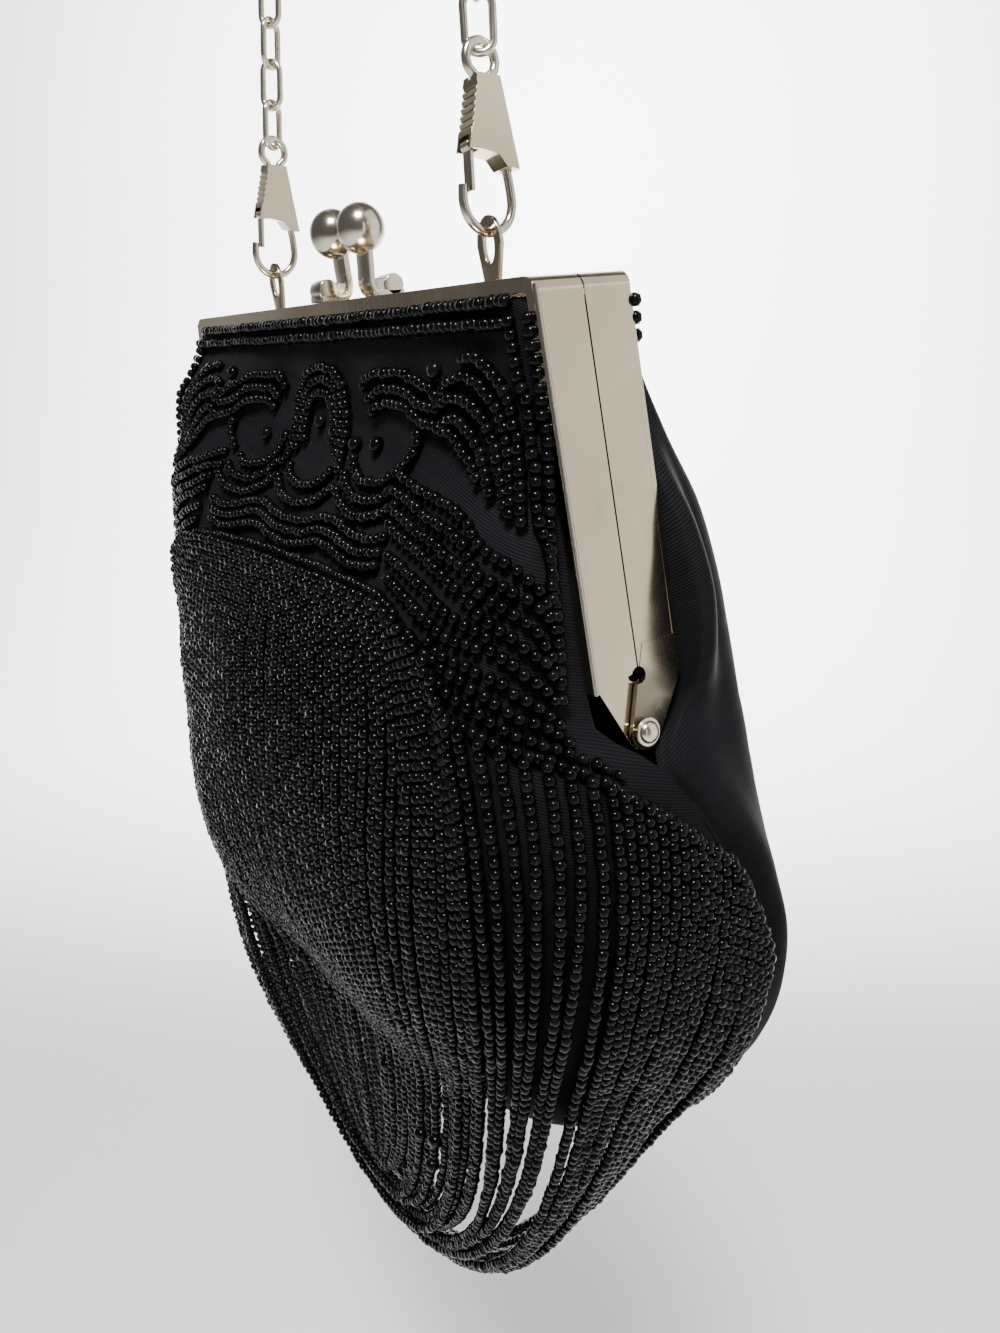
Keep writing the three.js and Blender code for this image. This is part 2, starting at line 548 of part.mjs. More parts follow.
function swagRoute(header, t) {
  const start = header.getPointAt(0.5 + 0.5 * t);
  const next = Math.max(SWAGS.findIndex(({ share }) => share >= t), 1);
  const [before, after] = [SWAGS[next - 1], SWAGS[next]];
  const part = (t - before.share) / (after.share - before.share);
  const at = (name) => THREE.MathUtils.lerp(before[name], after[name], part);
  const [low, lowPlane, bottom, top] = ['low', 'plane', 'bottom', 'top'].map(at);
  const [cos, sin] = [Math.cos(BAG_TILT), Math.sin(BAG_TILT)];
  const startPlane = start.y * cos - start.z * sin;
  const points = [];
  for (let i = 0; i <= FRINGE.steps; i += 1) {
    const turn = (Math.PI * i) / FRINGE.steps;
    const x = -start.x * Math.sign(Math.cos(turn)) * Math.abs(Math.cos(turn)) ** (2 / bottom);
    const fall = Math.abs(Math.sin(turn)) ** (2 / top);
    const drop = -start.z + (low + start.z) * fall;
    const plane = startPlane + (lowPlane - startPlane) * fall;
    points.push(clearOfPouch(new THREE.Vector3(x, (plane - drop * sin) / cos, -drop)));
  }
  return points;
}

function strip(points, halfWidth, halfThick) {
  // a ribbon of four-cornered sections, flat towards the front
  const corners = [];
  points.forEach((point, i) => {
    const [before, after] = [points[Math.max(i - 1, 0)], points[Math.min(i + 1, points.length - 1)]];
    const ahead = after.clone().sub(before).normalize();
    const out = new THREE.Vector3(point.x / 2, -FRAME.halfWidth, 0).normalize();
    const wide = new THREE.Vector3().crossVectors(ahead, out).normalize();
    const thick = new THREE.Vector3().crossVectors(wide, ahead).normalize();
    for (const [w, h] of [[-1, -1], [1, -1], [1, 1], [-1, 1]]) {
      const corner = point.clone().addScaledVector(wide, w * halfWidth).addScaledVector(thick, h * halfThick);
      corners.push(...corner.toArray());
    }
  });
  const index = [];
  for (let i = 0; i + 1 < points.length; i += 1) {
    for (let j = 0; j < 4; j += 1) {
      const [a, b] = [4 * i + j, 4 * i + ((j + 1) % 4)];
      index.push(a, a + 4, b, b, a + 4, b + 4);
    }
  }
  const end = 4 * (points.length - 1);
  index.push(0, 1, 2, 0, 2, 3, end, end + 2, end + 1, end, end + 3, end + 2);
  return indexed(corners, index);
}

function fringe() {
  const header = headerCurve();
  const band = header.getSpacedPoints(FRINGE.headerSteps);
  const pieces = [strip(band, FRINGE.header, FRINGE.halfThick)];
  for (let i = 0; i < FRINGE.swags; i += 1) {
    const t = THREE.MathUtils.lerp(SWAG_START.first, SWAG_START.last, i / (FRINGE.swags - 1));
    pieces.push(strip(swagRoute(header, t), FRINGE.halfWidth, FRINGE.halfThick));
  }
  return geometryOf(joined(pieces));
}

// Assembly

function named(name, geometry, material) {
  const mesh = new THREE.Mesh(geometry, material);
  mesh.name = name;
  return mesh;
}

const purse = new THREE.Group();
const bag = new THREE.Group();
bag.rotation.x = BAG_TILT;
const lugWire = new THREE.Vector3(0, LUG.y, LUG.wireHeight).applyEuler(bag.rotation);
bag.position.set(0, -lugWire.y, lugWireZ - lugWire.z);
purse.add(bag);

bag.add(named('frame_front', frameHalf(-1), nickel));
bag.add(named('frame_back', frameHalf(1), nickel));
bag.add(named('clasp_front', claspHalf(-1), nickel));
bag.add(named('clasp_back', claspHalf(1), nickel));
bag.add(named('front_panel', panel(-1), satin));
bag.add(named('back_panel', panel(1), satin));
bag.add(named('fringe', fringe(), beads));
purse.add(named('chain', chain(), nickel));

for (const [side, sign] of [['left', -1], ['right', 1]]) {
  bag.add(named(`hinge_rivet_${side}`, hingeRivet(sign), nickel));
  bag.add(named(`lug_${side}`, lug(sign), nickel));
  const hook = new THREE.Group();
  hook.position.set(sign * LUG.x, 0, lugWireZ);
  hook.rotation.y = -sign * CHAIN_LEAN;
  hook.add(named(`hook_wire_${side}`, hookWire(HOOK.wire), nickel));
  hook.add(named(`hook_sleeve_${side}`, hookSleeve(), nickel));
  hook.add(named(`hook_gate_${side}`, hookGate(), nickel));
  purse.add(hook);
}

export default purse;
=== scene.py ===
import json
import math

import bpy
import numpy as np
from mathutils import Matrix, Vector

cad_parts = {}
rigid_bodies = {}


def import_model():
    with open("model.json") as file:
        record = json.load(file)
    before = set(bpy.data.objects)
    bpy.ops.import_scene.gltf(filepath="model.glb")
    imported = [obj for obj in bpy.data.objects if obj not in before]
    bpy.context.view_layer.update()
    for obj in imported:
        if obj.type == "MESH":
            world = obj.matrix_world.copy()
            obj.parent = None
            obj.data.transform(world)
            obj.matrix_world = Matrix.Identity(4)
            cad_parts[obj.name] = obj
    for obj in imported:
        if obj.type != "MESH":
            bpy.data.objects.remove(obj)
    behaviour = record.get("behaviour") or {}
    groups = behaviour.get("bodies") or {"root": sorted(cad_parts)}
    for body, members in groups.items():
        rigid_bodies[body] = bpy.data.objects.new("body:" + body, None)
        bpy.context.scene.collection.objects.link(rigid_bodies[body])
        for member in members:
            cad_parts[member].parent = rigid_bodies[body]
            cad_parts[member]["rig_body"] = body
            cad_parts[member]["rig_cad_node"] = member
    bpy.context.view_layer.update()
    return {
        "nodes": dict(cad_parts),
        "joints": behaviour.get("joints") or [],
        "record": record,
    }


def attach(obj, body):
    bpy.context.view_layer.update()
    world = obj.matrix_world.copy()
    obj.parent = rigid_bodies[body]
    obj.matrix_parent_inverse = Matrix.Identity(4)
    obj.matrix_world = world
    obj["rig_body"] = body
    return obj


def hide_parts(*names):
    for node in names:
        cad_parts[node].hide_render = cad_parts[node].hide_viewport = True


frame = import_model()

MM = 0.001
BODY = "purse"

# Camera and stage
CAMERA = {"place": (0.20246, -0.10485, -0.15034), "aim": (-0.7909, 0.5450, -0.2784), "lens": 27.16}
FLOOR_HEIGHT = -0.62
STAGE = {"front": 3.0, "back": 1.9, "half_width": 4.0, "wall": 3.0, "bend": 0.9}

# The bag's own frame, in millimetres: X right, Y back, Z up, from the middle of the frame's flat top.
# The record's side mount lies at this point of it.
SIDE_MOUNT_IN_BAG = Vector((79.5, -5.0, -30.0))

# Frame, clasp and lugs, in bag millimetres
METAL_EDGE, SLEEVE_EDGE, GATE_EDGE = 0.32, 0.16, 0.12
CLASP = {"ball": 5.0, "height": 13.5, "strap": 1.5, "width": 5.2, "foot": 7.2, "roll": 2.2, "gap": 0.3,
         "lean": 1.1, "block": (4.2, 5.0, 3.6)}
STRAP_PROFILE = [(7.2, 0.9), (2.2, 0.9), (0.6, 1.4), (-0.1, 3.2), (0.1, 6.5), (0.2, 10.0)]
LUG = {"x": 47.1, "y": 2.6, "sheet": 1.0, "eye": 3.6, "neck": 2.3, "edge": 0.22}
LUG_TAB = {"half": 4.0, "top": -2.4, "foot": -4.2}
LUG_HOLE = {"half_width": 1.9, "half_height": 3.2, "rim": 1.7, "height": 6.25}
HINGE = {"drop": 72.7, "shank": 1.2, "head": 2.0, "thick": 0.8, "stack": 2.4, "washer": 2.5, "dome": 1.2,
         "washer_thick": 0.4, "washer_place": 0.35, "dome_foot": 0.5}
FRAME_SIDE = {"half_width": 75.0, "splay": 0.15}
LIP = {"drops": (1.2, 64.0), "inset": 0.25, "y": -9.15, "wire": 0.5}

# Finishes. Drops and heights are in metres of the bag's frame.
PLATE = {"dark": (0.535, 0.45, 0.322), "light": (0.64, 0.548, 0.398), "roughness": 0.10, "smudge": 0.08}
BRIGHT = {"dark": (0.57, 0.51, 0.41), "light": (0.72, 0.65, 0.53), "roughness": 0.13, "smudge": 0.07}
TARNISH = (0.36, 0.30, 0.22)
PLATE_BEND, BEND_DROPS = 0.48, (0.042, 0.078)
SATIN_DARK, SATIN_NAP = (0.0052, 0.0052, 0.0058), (0.0096, 0.0094, 0.0108)
# SATIN_SHADOW is painted shade: the colour the satin darkens to below the heights in SATIN_SHADE.
SATIN_THREAD, SATIN_SHADOW = (0.020, 0.020, 0.0226), (0.0015, 0.0015, 0.0017)
SATIN_SHADE = (-0.16, -0.035)
GLASS_DARK, GLASS_WORN = (0.0015, 0.0015, 0.0017), (0.0045, 0.0044, 0.0052)
PAPER = ((0.86, 0.86, 0.86), (0.90, 0.90, 0.90))

# Lights: place, aim, size, power and spread
LIGHT_AIM = (0, 0, -0.2)
LIGHTS = {
    "key": ((0.45, -0.42, 0.72), LIGHT_AIM, (0.28, 0.28), 26, 180.0),
    "top_panel": ((0.68, 0.61, 0.77), LIGHT_AIM, (1.1, 0.95), 3.3, 180.0),
    "side_panel": ((1.0, 0.95, -0.05), LIGHT_AIM, (1.3, 1.2), 6, 180.0),
    "strip": ((1.1, -0.25, -0.1), LIGHT_AIM, (0.06, 0.8), 0.6, 180.0),
    "wall_wash": ((-0.45, 0.35, 0.6), (-1.2, 0.95, 0.15), (1.2, 0.8), 110, 140.0),
}
WORLD = {"colour": (0.95, 0.96, 1.0, 1.0), "strength": 0.16}

# Snap hooks, in their own millimetres: y across, z up from the wire in the lug
GATE_PIVOT_IN_HOOK = Vector((0.0, -3.5, 13.4))
HOOK = {"wire": 0.85, "loop": 5.0, "top": 30.0, "omega": 2.9, "neck": 0.95, "neck_height": 22.4, "end": 19.0}
HOOK_NOSE = (-4.9, 7.2)
HOOK_SPINE = [(4.5, 9.0), (3.3, 12.8), (1.7, 18.0)]

# Chain of oval links over two leaning strands and an arch
LINK = {"length": 11.0, "width": 6.4, "wire": 0.725, "around": 28, "section": 10}
CHAIN = {"links": 29, "pitch": 8.3, "roll": 62.0, "clear": 0.3}

# Pouch: one row for each level, as in the solids. seam and middle are y, round the section's squareness.
POUCH_COLUMNS = ("drop", "half", "seam_front", "seam_back", "front", "back", "round_front", "round_back")
POUCH_ROWS = [
    (2.8, 72.4, -8.8, 8.8, -9.2, 9.4, 4.0, 5.0),
    (13.0, 73.9, -8.8, 8.8, -10.4, 14.0, 4.0, 5.0),
    (27.0, 76.0, -8.8, 8.8, -13.5, 23.0, 4.0, 4.8),
    (40.0, 78.0, -8.8, 8.8, -21.0, 32.0, 4.0, 4.6),
    (52.0, 79.8, -8.8, 8.8, -27.0, 36.0, 4.2, 4.5),
    (63.0, 81.4, -8.8, 8.8, -31.0, 38.5, 4.3, 4.2),
    (70.0, 82.4, -8.4, 8.4, -33.0, 40.0, 4.4, 4.0),
    (78.0, 88.0, -0.15, 0.15, -34.6, 41.0, 4.4, 3.6),
    (90.0, 92.4, 7.85, 8.15, -36.4, 42.0, 4.4, 3.2),
    (105.0, 95.0, 16.35, 16.65, -37.0, 43.0, 4.2, 2.9),
    (120.0, 93.8, 20.85, 21.15, -36.6, 43.0, 4.0, 2.8),
    (135.0, 90.2, 21.85, 22.15, -34.0, 42.6, 3.8, 2.7),
    (150.0, 83.6, 20.85, 21.15, -29.0, 41.4, 3.5, 2.7),
    (165.0, 73.7, 17.85, 18.15, -21.5, 38.6, 3.1, 2.6),
    (178.0, 60.7, 14.85, 15.15, -12.8, 33.4, 2.8, 2.5),
    (188.0, 46.2, 12.15, 12.45, -4.4, 27.0, 2.6, 2.4),
    (195.0, 30.4, 10.35, 10.65, 2.4, 19.6, 2.4, 2.4),
    (199.4, 12.0, 9.35, 9.65, 8.2, 11.4, 2.4, 2.4),
]
CLOTH = {"thick": 0.9, "rows": 104, "columns": 124}
# The satin behind the frame's sides: a puff by drop, soft pulls below it and ripples
PUFF = {"drops": (2.8, 22, 32, 42, 52, 60, 68, 78, 90, 104),
        "sizes": (0, 0, 3.2, 7.2, 8.8, 7.6, 4.8, 1.6, 0.4, 0), "turns": (63, 81), "seam": 4}
PULL = {"size": 0.7, "turns": (30, 60), "start": (60, 95), "end": (110, 150)}
RIPPLE = {"size": 0.5, "drop": 55, "reach": 40}
QUILT = {"size": 0.35, "drop": 30, "reach": 26}
# The cloth isn't quite even: by drop, how far its left front bulges forward and its sides sag outward
LEFT_BULGE = {"drops": (2.8, 8, 20, 34, 48, 60, 82, 100, 120, 145, 175, 205, 235),
              "sizes": (0, 1, 7, 6.5, 2.5, -0.5, -3.5, -3, 0.5, 5, 7, 5, 1)}
SLUMP = {"bulge_x": (10, 60), "bulge_y": 12, "sag_x": (30, 75), "sag_y": (0, 14), "left": 1.25, "right": 0.7}
SIDE_SAG = {"drops": (2.8, 78, 88, 98, 108, 120, 133, 147, 158, 168, 180, 196),
            "sizes": (0, 0, -1.6, -2.2, -2.0, -0.6, 1.4, 3.4, 4.2, 2.8, 0, 0)}

# Beads and the fringe
BEAD = {"width": 2.3, "length": 1.85, "sides": 7, "pitch": 1.93, "dot": 3.3, "end": 3.6}
STRAY = {"loose": 0.12, "sewn": 0.10, "turn": 0.10, "size": 0.045}
SEWN_LIFT, HEADER_LIFT = 0.42, 0.45
DOT_LIFT = 0.7
SEEDS = {"border": 11, "scroll": 23, "fan": 37, "header": 41, "fringe": 53}
LOOSE_PITCH = {"side": 2.1, "fan": 2.3}
BEAD_PROFILE = [(-1.0, 0.52), (-0.48, 0.98), (0.48, 0.98), (1.0, 0.52)]
FRINGE = {"swags": 53, "lift": 1.5, "steps": 240, "pieces": 5}
# Strings hang close together at the front and the sides: the share of the header at some numbers
STRING_NUMBERS = (0, 21, 30, 33, 43, 52)
STRING_SHARES = (0.008, 0.36, 0.57, 0.64, 0.80, 0.99)
# How far each string is drawn to the bundle that it hangs in, and the bundles, as shares of the header
BUNDLES = {"places": (0.12, 0.27, 0.41, 0.53, 0.69, 0.78, 0.85, 0.93), "draw": 0.9}
# Each loop by its share of the header: its lowest drop, the upright plane that it falls to, the
# exponents of its round bottom and of its upright top, and how far aside its lowest point lies
SWAG_SHARES = (0.0, 0.3, 0.6, 1.0)
SWAGS = {"low": (205.4, 217.6, 225.1, 256.0), "plane": (-6.0, -4.5, -1.8, 19.2),
         "bottom": (2.24, 2.51, 2.19, 1.4), "top": (2.97, 2.58, 2.02, 1.0), "aside": (3.9, 4.3, 4.8, 5.4)}
SWAG_SWAY = (1.2, 0.7, 0.8)
END_BEADS = [(4.9, -37.5, -125.1), (-20.3, -28.0, -160.7), (19.2, -26.4, -170.8), (35.3, -27.3, -179.1),
             (42.8, -27.6, -175.2), (39.9, -27.7, -184.3)]
HEADER = [(0, 49), (18, 50.5), (28, 54.5), (36, 57.5), (40, 61), (43, 64.5), (48, 66.8), (56, 67.8),
          (64, 69.2), (72, 71), (79, 73), (84, 76.5), (87, 81), (89, 87), (90, 98), (90, 123)]

# Embroidery chart, in bag x and drop. What is drawn on the right is mirrored about MOTIF_MIDDLE.
MOTIF_MIDDLE = 2.5
TOP_ROWS = (3.4, 6.4)
TOP_ROW = {"half": 69.5, "sag": 0.3, "pitch": 1.75}
BACK_ROW_HALF = 71.0
BACK_ROWS = (4.6, 7.3, 10.0)
BACK_CORNER = (75.4, 10.0)
RAINBOWS = [
    [(55.5, 11.9), (58.4, 11.3), (61.4, 12.2), (64.5, 13.7), (67.3, 15.8), (69.6, 18.6), (71.3, 22.5),
     (72.6, 27), (74, 32), (75.5, 37)],
    [(49.7, 19.7), (50.7, 16.7), (52.8, 15), (56.1, 14.6), (59.4, 15.1), (63.1, 16.9), (66, 19),
     (68.3, 22), (70, 26), (71.8, 31), (73.5, 36)],
    [(50, 19.5), (53.6, 17.9), (58.1, 18.6), (62.4, 20.8), (65.3, 23.2), (67.3, 26.3), (69.3, 30),
     (72, 34.5)],
    [(50.5, 23), (54.1, 21), (57, 21.9), (60.2, 23.8), (63, 26.3), (65.5, 29.5), (68.5, 33)],
    [(50.5, 23.4), (54.1, 23.9), (57.4, 26.1), (61, 28), (64.5, 30.8)],
]
OVAL_ARCS = [
    [(20.5, 17), (22.8, 14.6), (27.1, 13.9), (31.6, 14), (36.2, 13.9), (40, 15), (43.4, 15.8),
     (46.3, 16.5), (47.8, 17.7), (49.7, 19.7)],
    [(23.3, 18.8), (27.9, 17), (33.2, 16.7), (38.1, 17.2), (41, 18.5), (45.9, 19.8), (49.4, 20.2)],
    [(24.9, 21.5), (27.5, 19.9), (32, 19.4), (37, 19.7), (41.5, 21.4), (44.4, 22.3), (47, 22.6),
     (50.5, 23.2)],
    [(42.5, 23.5), (43.5, 26), (42, 28.6), (39.5, 30.4)],
]
SAGGING_ARCS = [
    [(19.5, 29.5), (23, 32), (28, 33.6), (33, 33.6), (37.5, 31.8)],
    [(18.5, 32.5), (23, 35), (29, 36.6), (35, 36.2), (41, 33.8)],
    [(18, 35.5), (23, 38), (30, 39.4), (37, 38.6), (44, 36)],
]
HORSESHOE = [
    [(2.5, 12.4), (8.5, 13.6), (13, 17.5), (15, 24), (15, 30), (17, 33)],
    [(2.5, 14.8), (7, 15.8), (10.5, 19), (12.3, 24.5), (12.3, 30)],
    [(2.5, 17.6), (5.5, 18.2), (7.9, 20), (9.5, 24), (9.5, 28)],
]
SMILES = [
    [(2.5, 36.2), (8.5, 35.3), (13.5, 32.5)],
    [(2.5, 39.5), (10.5, 38.4), (17, 35)],
]
WAVE = [(2.5, 42.6), (10.5, 42), (18.5, 40.6), (23.5, 40.8), (29.5, 42), (36.5, 42.6), (43.5, 41.6)]
WAVE_STEPS = (0.0, 2.3, 4.6)
# Rows near the side, by the angle round the section and the drop
SIDE_ROWS = [
    [(87, 5), (87, 20), (86, 30), (86, 40), (87, 50), (87, 62)],
    [(64, 5.4), (65, 8.9), (67, 12.7), (70, 15.5), (75, 18.5), (75, 24), (78, 28), (78, 31), (80, 35.4),
     (84, 39), (86, 44), (86, 49)],
]
FAN = [
    [(14, 31), (17, 31.8), (24, 33.5), (34, 34.8), (44, 36.9), (52, 40), (59, 41.3), (67, 42.5),
     (74, 43.8), (80, 46.1), (85, 50), (87, 57), (87, 65)],
    [(14, 34), (18, 34.6), (23, 35.7), (31, 37.6), (39, 38.7), (47, 41.3), (53, 44.1), (60, 45.1),
     (67, 46), (74, 47.1), (80, 48.6), (86, 51.5)],
    [(16, 36.6), (23, 38.6), (29, 40), (35, 41.1), (41, 42.7), (48, 43.8), (56, 47.2), (61, 47.8),
     (66, 48.8), (73, 50.1), (79, 51.7), (84, 55.6), (87, 60)],
    [(17, 39.2), (24, 41.4), (31, 43), (38, 44.9), (45, 46.8), (52, 48.7), (58, 50.4), (65, 51.8),
     (72, 53.5), (77, 55.3), (82, 56.9), (86, 60.5)],
    [(19, 44), (27, 46), (34, 47.9), (41, 50), (48, 51.4), (55, 52.4), (62, 53.4)],
    [(20, 47.4), (27, 49.6), (34, 51.8), (41, 53.6), (47, 54.4), (53, 54.7), (63, 55.2), (68, 56.4),
     (73, 57.8), (76, 59.2), (82, 61.2), (86, 64.7)],
    [(36, 54.8), (41, 56.6), (50, 57.6), (57, 58.3), (66, 59.8), (70, 61), (78, 63.5), (82, 64.9),
     (87, 68.5)],
    [(38, 57.6), (42, 58.6), (48, 59.6), (53, 60.6), (58, 61.6), (62, 62.6), (67, 63.7), (71, 64.8),
     (76, 66), (81, 67), (85, 69), (87, 72)],
    [(41, 61), (47, 62.6), (52, 63.7), (58, 64.7), (63, 65.8), (66, 66.5), (71, 67.9), (76, 68.9),
     (80, 70), (84, 72), (86, 74), (88, 78)],
]
DOTS = [(47.3, 13.4), (28.2, 26.8), (19.5, 27.2), (2.5, 23.5)]


# Places

side_mount = next(mount for mount in frame["record"]["mounts"] if mount["name"] == "frame_side")
BAG_TILT = math.atan2(-side_mount["axis"][1], side_mount["axis"][2])
BAG_TURN = Matrix.Rotation(BAG_TILT, 3, "X")
BAG_PLACE = Vector(side_mount["pos_m"]) / MM - BAG_TURN @ SIDE_MOUNT_IN_BAG
BAG_MATRIX = Matrix.Scale(MM, 4) @ Matrix.Translation(BAG_PLACE) @ BAG_TURN.to_4x4()


def hook_matrix(side):
    """The place of a snap hook, from its gate's joint."""
    joint = next(j for j in frame["joints"] if j["name"] == f"gate_{side}_hinge")
    lean = math.atan2(joint["axis"][2], joint["axis"][0])
    turn = Matrix.Rotation(-lean, 3, "Y")
    place = Vector(joint["pos_m"]) / MM - turn @ GATE_PIVOT_IN_HOOK
    return Matrix.Scale(MM, 4) @ Matrix.Translation(place) @ turn.to_4x4()


def in_row(points, matrix=BAG_MATRIX):
    """Points given in millimetres, in the row's frame and metres."""
    turn = np.array(matrix)
    return np.asarray(points, float) @ turn[:3, :3].T + turn[:3, 3]


# Mesh helpers

def deselect():
    if bpy.context.object and bpy.context.object.mode != "OBJECT":
        bpy.ops.object.mode_set(mode="OBJECT")
    bpy.ops.object.select_all(action="DESELECT")


def activate(piece):
    deselect()
    piece.select_set(True)
    bpy.context.view_layer.objects.active = piece


def settle(piece, matrix):
    """Puts a piece made in millimetres in its place, with the object left at the origin."""
    activate(piece)
    piece.matrix_world = matrix @ piece.matrix_world
    bpy.context.view_layer.update()
    bpy.ops.object.transform_apply(location=True, rotation=True, scale=True)
    return piece


def with_modifier(piece, kind, **settings):
    activate(piece)
    modifier = piece.modifiers.new(kind.title(), kind)
    for name, value in settings.items():
        setattr(modifier, name, value)
    bpy.ops.object.modifier_apply(modifier=modifier.name)
    return piece


def edit(piece, *steps):
    """Runs edit-mode operators on all of a piece."""
    activate(piece)
    bpy.ops.object.mode_set(mode="EDIT")
    bpy.ops.mesh.select_all(action="SELECT")
    for operator, settings in steps:
        operator(**settings)
    bpy.ops.object.mode_set(mode="OBJECT")
    return piece


def smooth(piece, degrees=40.0):
    activate(piece)
    bpy.ops.object.shade_smooth_by_angle(angle=math.radians(degrees))
    return piece


def join(name, pieces):
    activate(pieces[0])
    for piece in pieces:
        piece.select_set(True)
    bpy.ops.object.join()
    joined = bpy.context.object
    joined.name = name
    joined.data.name = name
    return joined


def from_arrays(name, points, loops, sizes):
    """A mesh object of many faces: points, the faces' corners in one list, and each face's corner count."""
    mesh = bpy.data.meshes.new(name)
    mesh.vertices.add(len(points))
    mesh.vertices.foreach_set("co", np.asarray(points, np.float32).ravel())
    mesh.loops.add(len(loops))
    mesh.loops.foreach_set("vertex_index", np.asarray(loops, np.int32))
    mesh.polygons.add(len(sizes))
    starts = np.concatenate([[0], np.cumsum(sizes)[:-1]])
    mesh.polygons.foreach_set("loop_start", starts.astype(np.int32))
    mesh.polygons.foreach_set("loop_total", np.asarray(sizes, np.int32))
    mesh.update(calc_edges=True)
    mesh.validate()
    mesh.shade_smooth()
    piece = bpy.data.objects.new(name, mesh)
    bpy.context.scene.collection.objects.link(piece)
    return piece


def finished(piece, material, slot, *nodes, body=BODY):
    """Gives a piece its finish and its body, and hides the solids that it stands for."""
    piece.data.materials.clear()
    piece.data.materials.append(material)
    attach(piece, body)
    if nodes:
        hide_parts(*nodes)
    return piece


# Finishes

class Value:
    """A number over a surface: a node's output that can stand in sums."""

    def __init__(self, finish, socket):
        self.finish = finish
        self.socket = socket

    def _sum(self, operation, first, second):
        return self.finish.node("ShaderNodeMath", {"operation": operation}, {0: first, 1: second})

    def __add__(self, other):
        return self._sum("ADD", self, other)

    __radd__ = __add__

    def __mul__(self, other):
        return self._sum("MULTIPLY", self, other)

    __rmul__ = __mul__

    def __sub__(self, other):
        return self._sum("SUBTRACT", self, other)

    def __rsub__(self, other):
        return self._sum("SUBTRACT", other, self)

    def __neg__(self):
        return self * -1.0

    def band(self, low, high):
        """0 below low, 1 above high."""
        settings = {"interpolation_type": "SMOOTHSTEP"}
        inputs = {"Value": self, "From Min": low, "From Max": high}
        return self.finish.node("ShaderNodeMapRange", settings, inputs)


class Finish:
    """A procedural material, built node by node."""

    def __init__(self, name, **constants):
        self.material = bpy.data.materials.new(name)
        self.material.use_nodes = True
        self.tree = self.material.node_tree
        self.shader = self.tree.nodes["Principled BSDF"]
        for socket, value in constants.items():
            self.shader.inputs[socket.replace("_", " ")].default_value = value

    def node(self, kind, settings=None, inputs=None, output=0):
        made = self.tree.nodes.new(kind)
        for name, value in (settings or {}).items():
            setattr(made, name, value)
        for name, value in (inputs or {}).items():
            self.feed(made.inputs[name], value)
        return Value(self, made.outputs[output])

    def feed(self, socket, value):
        if isinstance(value, Value):
            self.tree.links.new(value.socket, socket)
        else:
            socket.default_value = value

    def drive(self, socket, value):
        self.feed(self.shader.inputs[socket], value)

    def place(self):
        return self.node("ShaderNodeTexCoord", output="Object")

    def stretched(self, scale):
        return self.node("ShaderNodeMapping", None, {"Vector": self.place(), "Scale": scale})

    def noise(self, scale, detail=3.0, where=None, rough=0.5):
        inputs = {"Vector": where or self.place(), "Scale": scale, "Detail": detail, "Roughness": rough}
        return self.node("ShaderNodeTexNoise", None, inputs)

    def mixed(self, factor, first, second):
        """One colour over another."""
        made = self.tree.nodes.new("ShaderNodeMix")
        made.data_type = "RGBA"
        self.feed(made.inputs["Factor"], factor)
        for socket, value in ((made.inputs[6], first), (made.inputs[7], second)):
            self.feed(socket, value if isinstance(value, Value) else (*value, 1.0))
        return Value(self, made.outputs[2])

    def bag_place(self):
        """The bag's own Y and Z, in metres, of a point of the row."""
        place = self.node("ShaderNodeSeparateXYZ", None, {"Vector": self.place()})
        across = Value(self, place.socket.node.outputs["Y"]) - BAG_PLACE.y * MM
        height = Value(self, place.socket.node.outputs["Z"]) - BAG_PLACE.z * MM
        cos, sin = math.cos(BAG_TILT), math.sin(BAG_TILT)
        return cos * across + sin * height, cos * height - sin * across

    def bump(self, height, strength, distance, over=None):
        inputs = {"Height": height, "Strength": strength, "Distance": distance}
        if over:
            inputs["Normal"] = over
        made = self.node("ShaderNodeBump", None, inputs)
        self.drive("Normal", made)
        return made


def nickel_plate(name, dark, light, roughness, smudge, bend=0.0):
    """Polished plate with smears, rub marks and a little tarnish. Its lower part may look bent back."""
    finish = Finish(name, Metallic=1.0)
    smear = finish.noise(38.0, 4.0).band(0.35, 0.72)
    tarnish = finish.noise(120.0, 5.0, rough=0.65).band(0.56, 0.8)
    rubbed = finish.noise(900.0, 2.0, finish.stretched((1.0, 0.22, 0.16)))
    colour = finish.mixed(smear, dark, light)
    finish.drive("Base Color", finish.mixed(tarnish * 0.3, colour, TARNISH))
    finish.drive("Roughness", roughness + smudge * smear + 0.14 * tarnish + 0.06 * rubbed)
    marks = finish.bump(rubbed, 0.06, 0.0002)
    if bend:
        back, up = finish.bag_place()
        finish.bump(-bend * back * (-up).band(*BEND_DROPS), 1.0, 1.0, marks)
    return finish.material


